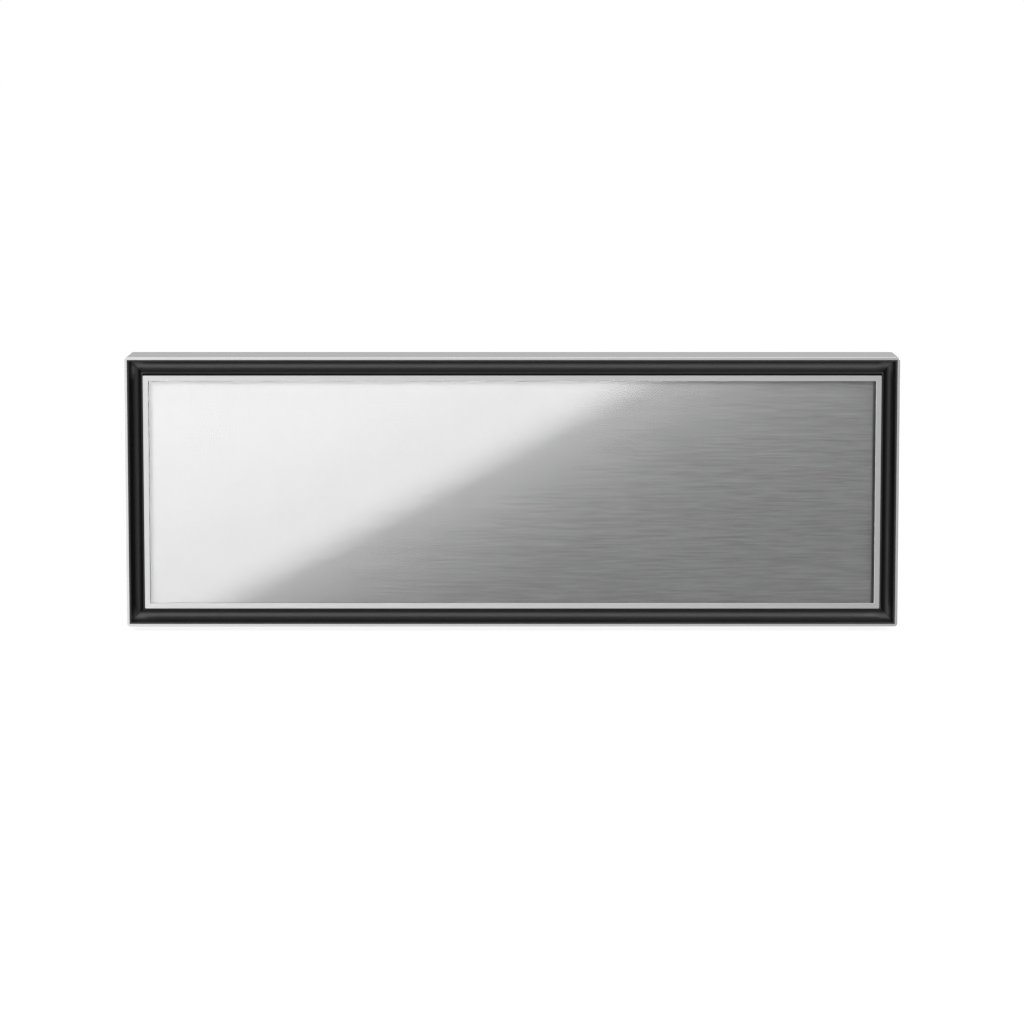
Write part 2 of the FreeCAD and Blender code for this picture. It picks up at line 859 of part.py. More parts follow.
def tray_screws():
    screws = []
    for x, z in tray_screw_places():
        place = Vector(x, to_y(front_thickness + tray_sheet), z)
        screws.append(pan_screw(place, back_wards, tray_sheet + tray_screw_bite))
    height = rail_bottom + rail_height / 2
    for s in rail_screw_depths():
        place = Vector(tray_half - tray_sheet, to_y(s), height)
        screw = pan_screw(place, left_wards, tray_sheet + rail_sheet)
        screws += [screw, mirrored(screw)]
    return screws


def base_slab(inset, z):
    """A rounded plate inside the tray."""
    edge = tray_floor_radius + base_glass_gap + inset
    half = tray_half - edge
    span = (front_thickness + edge, tray_back - edge)
    radius = max(tray_corner_radius - edge, 1.0)
    return slab_z((-half, half), span, radius, z)


def glass_base():
    return [base_slab(0, (tray_floor, tray_floor + base_glass_thickness))]


def base_mat():
    low = tray_floor + base_glass_thickness
    return [base_slab(mat_inset, (low, low + mat_thickness))]


# ------------------------------------------------------------------ telescopic rails

def rail_channel(u, v, s, opens_inwards=True):
    """A channel in the right-hand rail. u runs from the cavity wall towards the tray, v up.
    Its web is at the low end of u, or at the high end if it opens towards the wall."""
    outer = rail_block(u, v, s)
    hollow_v = (v[0] + rail_sheet, v[1] - rail_sheet)
    hollow_u = (u[0] + rail_sheet, u[1]) if opens_inwards else (u[0], u[1] - rail_sheet)
    return outer.cut(rail_block(hollow_u, hollow_v, s))


def rail_block(u, v, s):
    """A box in the right-hand rail, from its u, v and depth."""
    return block((cavity_half - u[1], cavity_half - u[0]), s, (rail_bottom + v[0], rail_bottom + v[1]))


# Room for a row of balls between two members, and the members' places across the rail
ball_room = 2 * (ball_radius + ball_clearance)
middle_inset = rail_sheet + ball_room
inner_inset = middle_inset + rail_sheet + ball_room
cabinet_reach = (0.0, cabinet_flange)
middle_reach = (middle_offset, middle_offset + middle_flange)
inner_reach = (rail_thickness - inner_flange, rail_thickness)


def rail_cabinet_member():
    member = rail_channel(cabinet_reach, (0, rail_height), (rail_front, rail_back))
    height = rail_bottom + rail_height / 2
    for s in rail_screw_depths():
        place = Vector(cavity_half - rail_sheet, to_y(s), height)
        member = member.cut(countersink(place, left_wards, rail_sheet))
    return member


def rail_middle_member():
    v = (middle_inset, rail_height - middle_inset)
    return rail_channel(middle_reach, v, (rail_front, rail_back))


def rail_drawer_member():
    v = (inner_inset, rail_height - inner_inset)
    member = rail_channel(inner_reach, v, (rail_front, rail_back), opens_inwards=False)
    height = rail_bottom + rail_height / 2
    for s in rail_screw_depths():
        x = cavity_half - rail_thickness
        member = member.cut(rod_x(s, height, screw_hole, (x, x + rail_sheet)))
    return member


def ball_cage(outer, inner, inset):
    """Two strips with a row of balls each, joined by a web. It lies between the webs that end at
    outer[0] and begin at inner[0], and its balls between the flanges that overlap there."""
    web = (outer[0] + rail_sheet + inner[0] - cage_sheet) / 2
    across = (inner[0] + outer[1]) / 2
    strip_end = across + ball_radius + cage_strip_margin
    level = inset - ball_room / 2
    span = (cage_front, cage_back)
    parts = [rail_block((web, web + cage_sheet), (level, rail_height - level), span)]
    balls = []
    half_pitch = (cage_back - cage_front) / ball_count / 2
    depths = spread(cage_front + half_pitch, cage_back - half_pitch, ball_count)
    for v in (level, rail_height - level):
        strip = rail_block((web, strip_end), around(v, cage_sheet / 2), span)
        for s in depths:
            x, z = cavity_half - across, rail_bottom + v
            strip = strip.cut(rod_z(x, s, ball_radius + cage_hole_gap, around(z, cage_sheet)))
            balls.append(Part.makeSphere(ball_radius, Vector(x, to_y(s), z)))
        parts.append(strip)
    return [fused(parts)] + balls


def outer_ball_cage():
    return ball_cage(cabinet_reach, middle_reach, middle_inset)


def inner_ball_cage():
    return ball_cage(middle_reach, inner_reach, inner_inset)


def rail_screws():
    """Countersunk screws that hold the cabinet members to the cavity's side walls."""
    screws = []
    height = rail_bottom + rail_height / 2
    for s in rail_screw_depths():
        place = Vector(cavity_half - rail_sheet, to_y(s), height)
        screw = flat_screw(place, left_wards, rail_sheet, rail_sheet + cavity_sheet + rail_screw_bite)
        screws += [screw, mirrored(screw)]
    return screws


# ------------------------------------------------------------------ casing

def cover_screw_places():
    """Screws in the top cover, as (X, depth)."""
    side = casing_half - casing_sheet - casing_flange / 2
    depths = spread(frame_depth + cover_screw_inset, total_depth - cover_screw_inset, cover_screw_count)
    return grid((-side, side), depths)


def base_screw_depths():
    return spread(frame_depth + base_screw_inset, total_depth - base_screw_inset, base_screw_count)


def rear_screw_places():
    """Screws in the rear panel, as (X, Z)."""
    side = casing_half - casing_sheet - rear_tab / 2
    return grid((-side, side), (casing_bottom + rear_screw_inset, casing_top - rear_screw_inset))


def base_pan():
    half = casing_half - casing_sheet
    span = (plate_back, total_depth)
    floor = (casing_bottom, casing_bottom + casing_sheet)
    edge = block((half - casing_sheet, half), span, (casing_bottom, casing_bottom + base_flange))
    pan = fused([block((-half, half), span, floor), edge, mirrored(edge)])
    for x, s in foot_places():
        pan = pan.cut(rod_z(x, s, foot_stud_radius + screw_hole_gap, floor))
    for s in base_screw_depths():
        pan = pan.cut(rod_x(s, casing_bottom + base_screw_rise, screw_hole, (-half, half)))
    return [pan]


def side_panel():
    """The right side panel: an outward flange in front, and inward ones on top and behind."""
    inside = casing_half - casing_sheet
    top = casing_top - casing_sheet
    wall = block((inside, casing_half), (plate_back, total_depth), (casing_bottom, top))
    front_depths = (plate_back, plate_back + casing_sheet)
    front = block((inside, casing_half + casing_front_flange), front_depths, (casing_bottom, top))
    roof_z = (top - casing_sheet, top)
    roof = block((inside - casing_flange, inside), (plate_back, rear_inside), roof_z)
    tab_depths = (rear_inside - casing_sheet, rear_inside)
    tab_bottom = casing_bottom + base_flange + rear_tab_gap
    tab = block((inside - rear_tab, inside), tab_depths, (tab_bottom, top))
    panel = fused([wall, front, roof, tab])
    for x, z in casing_screw_places():
        panel = panel.cut(rod_y(x, z, screw_hole, front_depths))
    for x, s in cover_screw_places():
        panel = panel.cut(rod_z(x, s, screw_hole, roof_z))
    for x, z in rear_screw_places():
        panel = panel.cut(rod_y(x, z, screw_hole, tab_depths))
    for s in base_screw_depths():
        panel = panel.cut(rod_x(s, casing_bottom + base_screw_rise, screw_hole, (inside, casing_half)))
    middle = (casing_bottom + casing_top) / 2
    for k in range(side_slot_count):
        s = total_depth - side_slot_start + k * side_slot_pitch
        slot_z = around(middle, side_slot_height / 2)
        panel = panel.cut(block((inside, casing_half), (s, s + side_slot_width), slot_z))
    return panel


def top_cover():
    sheet = (casing_top - casing_sheet, casing_top)
    cover = block((-casing_half, casing_half), (plate_back, total_depth), sheet)
    for x, s in cover_screw_places():
        cover = cover.cut(rod_z(x, s, screw_hole, sheet))
    slot_depths = around((cavity_wall_back + rear_inside) / 2, cover_slot_length / 2)
    for k in range(cover_slot_count):
        x = cover_slot_start + k * cover_slot_pitch
        slot = block(around(x, cover_slot_width / 2), slot_depths, sheet)
        cover = cover.cut(slot).cut(mirrored(slot))
    return [cover]


def rear_panel():
    """The back wall, with a flange folded forwards at its foot and its top."""
    half = casing_half - 2 * casing_sheet - rear_panel_gap
    low = casing_bottom + casing_sheet + rear_panel_gap
    high = casing_top - casing_sheet - rear_panel_gap
    sheet = (rear_inside, rear_face)
    fold = casing_half - 2 * casing_sheet - rear_tab - rear_tab_gap
    folds = [
        block((-fold, fold), (rear_inside - rear_fold, rear_inside), z)
        for z in ((low, low + casing_sheet), (high - casing_sheet, high))
    ]
    panel = fused([block((-half, half), sheet, (low, high))] + folds)
    for x, z in rear_screw_places() + board_standoff_places():
        panel = panel.cut(rod_y(x, z, screw_hole, sheet))
    inlet_hole = block(around(inlet_x, inlet_width / 2), sheet, around(inlet_height, inlet_body_height / 2))
    panel = panel.cut(inlet_hole)
    for x in centred(rear_slot_pitch, rear_slot_count):
        slot_z = around(fan_height, rear_slot_height / 2)
        panel = panel.cut(block(around(x, rear_slot_width / 2), sheet, slot_z))
    return [panel]


def casing_screws():
    screws = []
    for x, z in casing_screw_places():
        place = Vector(x, to_y(plate_front), z)
        screws.append(pan_screw(place, front_wards, plate_sheet + casing_sheet + screw_end))
    for x, s in cover_screw_places():
        screws.append(pan_screw(Vector(x, to_y(s), casing_top), up, 2 * casing_sheet + screw_end))
    for s in base_screw_depths():
        place = Vector(casing_half, to_y(s), casing_bottom + base_screw_rise)
        screw = pan_screw(place, right_wards, 2 * casing_sheet)
        screws += [screw, mirrored(screw)]
    for x, z in rear_screw_places():
        screws.append(pan_screw(Vector(x, to_y(rear_face), z), back_wards, 2 * casing_sheet + screw_end))
    return screws


def foot_places():
    side = casing_half - foot_inset
    return grid((-side, side), (front_foot_depth, total_depth - foot_inset))


def feet():
    bodies = []
    for x, s in foot_places():
        body = Part.makeCone(
            foot_radius - foot_taper, foot_radius, casing_bottom, Vector(x, to_y(s), 0), up,
        )
        rim = [e for e in body.Edges if len(e.Vertexes) == 1 and e.CenterOfMass.z < touching]
        body = body.makeFillet(foot_edge_radius, rim)
        stud = rod_z(x, s, foot_stud_radius, (casing_bottom, casing_bottom + casing_sheet))
        bodies.append(fused([body, stud]))
    return bodies


# ------------------------------------------------------------------ cavity and insulation

def cavity_sleeve():
    """The box round the drawer, open in front and behind."""
    z = (cavity_bottom, cavity_top)
    span = (plate_back, cavity_back)
    sleeve = slab_y(cavity_half, z, 0, span, -cavity_sheet).cut(slab_y(cavity_half, z, 0, span))
    height = rail_bottom + rail_height / 2
    for s in rail_screw_depths():
        outside = cavity_half + cavity_sheet
        sleeve = sleeve.cut(rod_x(s, height, screw_hole, (-outside, outside)))
    return [sleeve]


def cavity_rear_wall():
    z = (cavity_bottom, cavity_top)
    span = (cavity_back, cavity_wall_back)
    wall = slab_y(cavity_half, z, 0, span, -cavity_sheet)
    slot_z = around(fan_height, grille_slot_height / 2)
    for x in centred(grille_slot_pitch, grille_slot_count):
        wall = wall.cut(block(around(x, grille_slot_width / 2), span, slot_z))
    wall = wall.cut(rod_y(latch_x, latch_height, plunger_radius + latch_bore_gap, span))
    wall = wall.cut(rod_y(sensor_x, sensor_height, sensor_radius + screw_hole_gap, span))
    return [wall]


def insulation_slabs():
    """Mineral wool round the cavity, by name."""
    gap = insulation_gap
    inside = casing_half - casing_sheet
    wool = cavity_half + cavity_sheet
    depths = (plate_back + insulation_front_gap, cavity_back - insulation_back_gap)
    floor_z = (casing_bottom + casing_sheet + gap, cavity_bottom - cavity_sheet - gap)
    side_z = (floor_z[1] + gap, cavity_top + cavity_sheet)
    wall_x = (wool + side_insulation_gap, inside - gap)
    top_bottom = cavity_top + cavity_sheet + gap
    floor_half = inside - casing_sheet - gap
    right_depths = (side_insulation_start, depths[1])
    return {
        "bottom_insulation": [block((-floor_half, floor_half), depths, floor_z)],
        "side_insulation": [block(wall_x, right_depths, side_z), mirrored(block(wall_x, depths, side_z))],
        "top_insulation": [block((-wool, wool), depths, (top_bottom, top_bottom + top_insulation_height))],
    }


# ------------------------------------------------------------------ fan heater

def fan_duct():
    """A shallow box over the cavity's grille, open towards the cavity."""
    outside = block(
        around(0, duct_half_width), (cavity_wall_back, duct_back), around(fan_height, duct_half_height)
    )
    inside = block(
        around(0, duct_half_width - duct_sheet), (cavity_wall_back, duct_back - duct_sheet),
        around(fan_height, duct_half_height - duct_sheet),
    )
    duct = outside.cut(inside)
    wall = (duct_back - duct_sheet, duct_back)
    duct = duct.cut(rod_y(0, fan_height, shaft_radius + shaft_hole_gap, wall))
    for x, z in heater_leg_places():
        duct = duct.cut(rod_y(x, z, heater_tube_radius + heater_hole_gap, wall))
    return [duct]


def fan_impeller():
    """A radial fan wheel: hub, back disc and straight blades."""
    front = fan_back - fan_length
    hub = rod_y(0, fan_height, fan_hub_radius, (front, fan_back))
    disc = rod_y(0, fan_height, fan_radius, (fan_back - fan_disc, fan_back))
    parts = [hub, disc]
    for k in range(fan_blade_count):
        blade = block(
            (fan_hub_radius - fan_blade, fan_radius - fan_blade / 2), (front, fan_back - fan_disc),
            around(fan_height, fan_blade / 2),
        )
        centre = Vector(0, 0, fan_height)
        blade.rotate(centre, back_wards, k * 360.0 / fan_blade_count)
        parts.append(blade)
    wheel = fused(parts)
    return [wheel.cut(rod_y(0, fan_height, shaft_radius, (front + hub_cap, fan_back)))]


def fan_shaft():
    return [rod_y(0, fan_height, shaft_radius, (fan_back - fan_length + hub_cap, motor_back - shaft_end_gap))]


def fan_motor():
    motor = rod_y(0, fan_height, motor_radius, (duct_back, motor_back))
    rim = [e for e in motor.Edges if len(e.Vertexes) == 1 and e.CenterOfMass.y > to_y(motor_back) - touching]
    motor = motor.makeFillet(motor_edge_radius, rim)
    bore_end = motor_back - shaft_end_gap + shaft_running_gap
    bore = rod_y(0, fan_height, shaft_radius + shaft_running_gap, (duct_back, bore_end))
    return [motor.cut(bore)]


def heater_leg_places():
    half_gap = math.radians(heater_gap_angle / 2)
    x = heater_ring_radius * math.sin(half_gap)
    z = fan_height - heater_ring_radius * math.cos(half_gap)
    return [(-x, z), (x, z)]


def heating_element():
    """A tubular ring round the fan wheel, open at the bottom, with two legs through the duct."""
    level = (cavity_wall_back + duct_back) / 2
    ring = Part.makeTorus(
        heater_ring_radius, heater_tube_radius, Vector(0, 0, 0), up, -180, 180, 360 - heater_gap_angle
    )
    ring.rotate(Vector(0, 0, 0), up, -90 + heater_gap_angle / 2)
    ring.rotate(Vector(0, 0, 0), Vector(1, 0, 0), 90)
    ring.translate(Vector(0, to_y(level), fan_height))
    parts = [ring]
    for x, z in heater_leg_places():
        parts.append(Part.makeSphere(heater_tube_radius, Vector(x, to_y(level), z)))
        leg_end = duct_back + heater_leg
        parts.append(rod_y(x, z, heater_tube_radius, (level, leg_end)))
        parts.append(rod_y(x, z, heater_pin_radius, (leg_end, leg_end + heater_pin)))
    return [fused(parts)]


def thermal_cutout():
    """A round body on the duct, with two flat tabs."""
    z = fan_height + cutout_rise
    back = duct_back + cutout_thickness
    thickness, length, height = cutout_tab
    parts = [rod_y(cutout_x, z, cutout_radius, (duct_back, back))]
    for x in around(cutout_x, cutout_tab_pitch / 2):
        parts.append(block(around(x, thickness / 2), (back, back + length), around(z, height / 2)))
    return [fused(parts)]


def temperature_sensor():
    """A probe that stands into the cavity, with its seat behind the rear wall."""
    seat_back = cavity_wall_back + sensor_seat
    sections = (
        (sensor_radius, (cavity_back - sensor_reach, cavity_wall_back)),
        (sensor_seat_radius, (cavity_wall_back, seat_back)),
        (sensor_tail_radius, (seat_back, seat_back + sensor_tail)),
    )
    return [fused([rod_y(sensor_x, sensor_height, radius, span) for radius, span in sections])]


# ------------------------------------------------------------------ controls

def control_panel():
    """A flat panel with a round pocket, in which the knob sits below the surface."""
    front = plate_front - panel_thickness
    top = control_height + panel_half + panel_top_border
    outline = rounded_outline(around(0, panel_half), (top - panel_height, top), panel_corner_radius)
    panel = Part.Face(outline).extrude(Vector(0, 0, panel_thickness))
    panel.rotate(Vector(0, 0, 0), right_wards, 90)
    panel.translate(Vector(control_x, to_y(plate_front), 0))
    pocket = rod_y(control_x, control_height, pocket_radius + pocket_wall, (plate_front, pocket_bottom))
    hollow = rod_y(control_x, control_height, pocket_radius, (front, pocket_bottom - pocket_wall))
    panel = fused([panel, pocket]).cut(hollow)
    shaft_hole = knob_shaft_radius + knob_shaft_gap
    panel = panel.cut(rod_y(control_x, control_height, shaft_hole, (plate_front, pocket_bottom)))
    return [panel.cut(rod_y(control_x, lamp_height, lamp_radius + lamp_hole_gap, (front, plate_front)))]


def temperature_knob():
    """A disc with a raised grip across it, on a short shaft."""
    face = plate_front - panel_thickness + knob_recess
    disc_front = face + knob_grip_height
    back = pocket_bottom - pocket_wall - knob_back_gap
    disc = rod_y(control_x, control_height, knob_radius, (disc_front, back))
    grip = block(
        around(control_x, knob_grip_width / 2), (face, disc_front + knob_grip_root),
        around(control_height, knob_radius - knob_grip_inset),
    )
    upright = [e for e in grip.Edges if e.BoundBox.YLength > knob_grip_height]
    grip = grip.makeFillet(knob_grip_width * slot_rounding, upright)
    shaft = rod_y(control_x, control_height, knob_shaft_radius, (back, pocket_bottom + knob_shaft_length))
    return [fused([disc, grip, shaft])]


def selector_switch():
    front = pocket_bottom
    body = block(
        around(control_x, switch_side / 2), (front, front + switch_length),
        around(control_height, switch_side / 2),
    )
    upright = [e for e in body.Edges if e.BoundBox.YLength > switch_length - touching]
    body = body.makeFillet(switch_corner_radius, upright)
    bore = knob_shaft_radius + shaft_running_gap
    return [body.cut(rod_y(control_x, control_height, bore, (front, front + switch_bore)))]


def pilot_lamp():
    front = plate_front - panel_thickness - lamp_proud
    body_front = plate_front + lamp_body_gap
    lens = rod_y(control_x, lamp_height, lamp_radius, (front, body_front + lamp_body_gap))
    rim = [e for e in lens.Edges if e.CenterOfMass.y < to_y(front) + touching]
    lens = lens.makeFillet(lamp_radius * slot_rounding, rim)
    body_radius = lamp_radius + lamp_body_wall
    body = rod_y(control_x, lamp_height, body_radius, (body_front, body_front + lamp_body_length))
    return [fused([lens, body])]


# ------------------------------------------------------------------ touch latch

def latch_striker():
    """A pin on a foot plate behind the tray, which enters the latch when the drawer is shut."""
    width, height, thickness = striker_foot
    foot_back = tray_back + thickness
    foot = block(around(latch_x, width / 2), (tray_back, foot_back), around(latch_height, height / 2))
    pin = rod_y(latch_x, latch_height, striker_radius, (foot_back, striker_tip))
    rim = [e for e in pin.Edges if len(e.Vertexes) == 1 and e.CenterOfMass.y > to_y(striker_tip) - touching]
    return [fused([foot, pin.makeChamfer(striker_chamfer, rim)])]


def latch_housing():
    """A barrel behind the cavity's rear wall, open in front, with a square foot on the wall."""
    barrel = rod_y(latch_x, latch_height, latch_barrel_radius, (cavity_wall_back, latch_back))
    width, height, thickness = latch_foot
    depths = (cavity_wall_back, cavity_wall_back + thickness)
    foot = block(around(latch_x, width / 2), depths, around(latch_height, height / 2))
    bore = rod_y(
        latch_x, latch_height, plunger_radius + latch_bore_gap,
        (cavity_wall_back, latch_back - latch_barrel_end),
    )
    return [fused([barrel, foot]).cut(bore)]


def latch_plunger():
    return [rod_y(latch_x, latch_height, plunger_radius, (plunger_front, plunger_back))]


def latch_spring():
    """A compression spring between the plunger's travel and the end of the barrel."""
    front = plunger_back + plunger_travel + push_clearance + spring_wire_radius
    back = latch_back - latch_barrel_end - spring_end_gap - spring_wire_radius
    coil_radius = plunger_radius - spring_wire_radius
    helix = Part.makeHelix((back - front) / spring_turns, back - front, coil_radius)
    section = Part.Wire(Part.makeCircle(spring_wire_radius, Vector(coil_radius, 0, 0), back_wards))
    coil = Part.Wire(helix.Edges).makePipeShell([section], True, True)
    coil.rotate(Vector(0, 0, 0), Vector(1, 0, 0), -90)
    coil.translate(Vector(latch_x, to_y(front), latch_height))
    return [coil]


# ------------------------------------------------------------------ electrical parts

def mains_inlet():
    """An appliance inlet: a flanged socket with three flat pins."""
    half_x = inlet_width / 2 - inlet_hole_gap
    half_z = inlet_body_height / 2 - inlet_hole_gap
    rim_back = rear_face + inlet_rim_thickness
    body = block(around(inlet_x, half_x), (inlet_front, rear_face), around(inlet_height, half_z))
    rim = block(
        around(inlet_x, half_x + inlet_rim), (rear_face, rim_back), around(inlet_height, half_z + inlet_rim)
    )
    rim_corners = [e for e in rim.Edges if e.BoundBox.YLength > inlet_rim_thickness - touching]
    rim = rim.makeFillet(inlet_rim, rim_corners)
    socket = block(
        around(inlet_x, half_x - inlet_wall), (rear_face - socket_depth, rim_back),
        around(inlet_height, half_z - inlet_wall),
    )
    lower_corners = [
        e for e in socket.Edges if e.BoundBox.YLength > socket_depth and e.CenterOfMass.z < inlet_height
    ]
    socket = socket.makeChamfer(socket_chamfer, lower_corners)
    body = fused([body, rim]).cut(socket)
    width, height = inlet_pin
    pin_depths = (rear_face - socket_depth - inlet_wall / 2, rear_face - inlet_pin_recess)
    pins = [
        block(around(inlet_x + dx, width / 2), pin_depths, around(inlet_height + dz, height / 2))
        for dx, dz in inlet_pin_places
    ]
    return [fused([body] + pins)]


def terminal_block():
    front = rear_inside - terminal_depth
    body = block(
        around(inlet_x, terminal_width / 2), (front, rear_inside),
        around(terminal_height, terminal_body_height / 2),
    )
    holes = (front, front + terminal_hole_depth)
    for dx in centred(terminal_width / terminal_ways, terminal_ways):
        for z in around(terminal_height, terminal_row_pitch / 2):
            body = body.cut(rod_y(inlet_x + dx, z, terminal_hole_radius, holes))
    return [body]


def board_standoff_places():
    columns = around(board_x, board_width / 2 - standoff_inset)
    return grid(columns, around(board_centre_height, board_height / 2 - standoff_inset))


def power_board():
    """A circuit board with its transformer, relays, connectors and capacitors."""
    board = block(
        around(board_x, board_width / 2), (board_front, board_back),
        around(board_centre_height, board_height / 2),
    )
    for x, z in board_standoff_places():
        board = board.cut(rod_y(x, z, screw_hole, (board_front, board_back)))
    parts = [board]
    components = (transformer, low_relay, high_relay, low_plug, right_plug, left_plug)
    for dx, dz, width, height, thickness in components:
        x, z = board_x + dx, board_centre_height + dz
        parts.append(block((x, x + width), (board_front - thickness, board_front), (z, z + height)))
    for dx, dz in capacitor_places:
        depths = (board_front - capacitor_height, board_front)
        parts.append(rod_y(board_x + dx, board_centre_height + dz, capacitor_radius, depths))
    return [fused(parts)]


def board_standoffs():
    """Plastic pillars that snap into the rear panel and the board, with a round head at each end."""
    bodies = []
    for x, z in board_standoff_places():
        parts = [
            rod_y(x, z, standoff_radius, (board_back, rear_inside)),
            rod_y(x, z, screw_radius, (board_front, rear_face)),
        ]
        for place, direction in ((rear_face, back_wards), (board_front, front_wards)):
            middle = Vector(x, to_y(place), z)
            radii = (standoff_head_radius, screw_radius)
            parts.append(Part.makeCone(*radii, standoff_head_height, middle, direction))
        bodies.append(fused(parts))
    return bodies


def wiring_harness():
    """Four wire bundles: inlet to terminals, terminals to board, board to motor, board to switch."""
    terminal_top = terminal_height + terminal_body_height / 2
    terminal_low = terminal_height - terminal_body_height / 2
    middle = rear_inside - terminal_depth / 2
    plug_x, plug_z, plug_width, _, plug_thickness = low_plug
    connector = board_front - plug_thickness / 2
    low = casing_bottom + floor_run
    high = casing_top - ceiling_run
    low_plug_x = board_x + plug_x + plug_width / 2
    low_plug_z = board_centre_height + plug_z
    left_plug_x = board_x + left_plug[0]
    right_plug_x = board_x + right_plug[0] + right_plug[2]
    side_x = casing_half - side_run
    switch_back = pocket_bottom + switch_length
    bundles = [
        [
            (inlet_x, inlet_front, inlet_height),
            (inlet_x, inlet_front - short_run, inlet_height),
            (inlet_x, inlet_front - short_run, terminal_top + short_run),
            (inlet_x, middle, terminal_top + short_run),
            (inlet_x, middle, terminal_top),
        ],
        [
            (inlet_x, middle, terminal_low),
            (inlet_x, middle, low),
            (low_plug_x - long_run, middle, low),
            (low_plug_x, connector, low + wire_radius),
            (low_plug_x, connector, low_plug_z),
        ],
        [
            (left_plug_x, connector, board_centre_height),
            (left_plug_x - short_run, connector, board_centre_height),
            (cutout_x, connector + 3 * wire_radius, fan_height),
            (motor_radius, connector + 3 * wire_radius, fan_height),
        ],
        [
            (right_plug_x, connector, board_centre_height),
            (side_x, connector, board_centre_height),
            (side_x, connector, high),
            (side_x, switch_back + long_run, high),
            (control_x, switch_back + long_run, control_height),
            (control_x, switch_back, control_height),
        ],
    ]
    return [cable(points, wire_radius) for points in bundles]


# ------------------------------------------------------------------ the whole object

def build():
    os.makedirs("parts", exist_ok=True)

    save("front_frame", front_frame())
    save("frame_liner", frame_liner())
    save("frame_spacers", frame_spacers())
    save("frame_screws", frame_screws())
    save("front_plate", front_plate())
    save("drawer_gasket", drawer_gasket())

    save("front_trim", front_trim())
    save("front_glass", front_glass())
    save("front_backing", front_backing())
    save("front_carrier", front_carrier())
    save("front_core", front_core())
    save("front_inner_panel", front_inner_panel())

    save("drawer_tray", drawer_tray())
    save("drawer_screws", front_screws() + tray_screws())
    save("latch_striker", latch_striker())
    save("glass_base", glass_base())
    save("base_mat", base_mat())

    rail_parts = {
        "rail_cabinet_member": [rail_cabinet_member()],
        "rail_middle_member": [rail_middle_member()],
        "rail_drawer_member": [rail_drawer_member()],
        "outer_ball_cage": outer_ball_cage(),
        "inner_ball_cage": inner_ball_cage(),
    }
    for name, shapes in rail_parts.items():
        save("right_" + name, shapes)
        save("left_" + name, [mirrored(shape) for shape in shapes])
    save("rail_screws", rail_screws())

    save("base_pan", base_pan())
    save("right_side_panel", [side_panel()])
    save("left_side_panel", [mirrored(side_panel())])
    save("top_cover", top_cover())
    save("rear_panel", rear_panel())
    save("casing_screws", casing_screws())
    save("feet", feet())

    save("cavity_sleeve", cavity_sleeve())
    save("cavity_rear_wall", cavity_rear_wall())
    for name, slabs in insulation_slabs().items():
        save(name, slabs)

    save("fan_duct", fan_duct())
    save("fan_impeller", fan_impeller())
    save("fan_shaft", fan_shaft())
    save("fan_motor", fan_motor())
    save("heating_element", heating_element())
    save("thermal_cutout", thermal_cutout())
    save("temperature_sensor", temperature_sensor())

    save("control_panel", control_panel())
    save("temperature_knob", temperature_knob())
    save("selector_switch", selector_switch())
    save("pilot_lamp", pilot_lamp())

    save("latch_housing", latch_housing())
    save("latch_plunger", latch_plunger())
    save("latch_spring", latch_spring())

    save("mains_inlet", mains_inlet())
    save("terminal_block", terminal_block())
    save("power_board", power_board())
    save("board_standoffs", board_standoffs())
    save("wiring_harness", wiring_harness())


build()
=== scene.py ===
# %% [markdown]
# # A warming drawer for a kitchen
# A low casing with a heater and a fan stands behind a wide drawer front. The front is a pane of
# clear glass over brushed steel, in a satin metal trim. A satin surround frames it, and a black
# groove runs between the two for the fingers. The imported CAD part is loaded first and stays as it
# is: the cells below give each of its pieces a finish, and model the pieces that need finer shapes.

# %% Load the part
import json
import math
import bpy
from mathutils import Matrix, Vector


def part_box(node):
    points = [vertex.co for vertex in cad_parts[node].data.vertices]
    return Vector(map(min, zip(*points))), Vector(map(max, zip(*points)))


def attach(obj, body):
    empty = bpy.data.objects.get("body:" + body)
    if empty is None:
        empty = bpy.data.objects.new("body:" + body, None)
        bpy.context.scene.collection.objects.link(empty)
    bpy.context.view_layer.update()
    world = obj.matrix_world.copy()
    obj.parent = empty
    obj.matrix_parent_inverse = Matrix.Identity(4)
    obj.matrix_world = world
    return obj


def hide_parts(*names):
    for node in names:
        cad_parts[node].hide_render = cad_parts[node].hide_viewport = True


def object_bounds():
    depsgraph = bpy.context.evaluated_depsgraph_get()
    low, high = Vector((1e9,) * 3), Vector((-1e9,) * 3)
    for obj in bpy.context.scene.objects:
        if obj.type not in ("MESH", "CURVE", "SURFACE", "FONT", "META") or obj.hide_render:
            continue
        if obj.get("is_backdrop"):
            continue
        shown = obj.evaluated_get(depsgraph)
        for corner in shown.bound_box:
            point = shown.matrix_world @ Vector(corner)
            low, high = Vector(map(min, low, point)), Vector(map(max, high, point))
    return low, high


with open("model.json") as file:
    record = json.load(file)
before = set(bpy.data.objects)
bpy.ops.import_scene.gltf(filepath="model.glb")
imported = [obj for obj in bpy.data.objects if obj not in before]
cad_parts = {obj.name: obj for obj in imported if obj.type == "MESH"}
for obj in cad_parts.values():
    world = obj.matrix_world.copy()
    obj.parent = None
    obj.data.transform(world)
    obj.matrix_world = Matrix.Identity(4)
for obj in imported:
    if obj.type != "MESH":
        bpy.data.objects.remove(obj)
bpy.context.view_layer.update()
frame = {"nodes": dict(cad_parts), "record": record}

nodes = frame["nodes"]

# %% [markdown]
# ## Camera
# A drawer front looks right when its uprights stay upright, so the view comes from far away with a
# long lens. The camera stands on the object's middle line, half a metre up, and looks slightly
# down. Tilting it further would make the front taper, so a small shift does the rest.

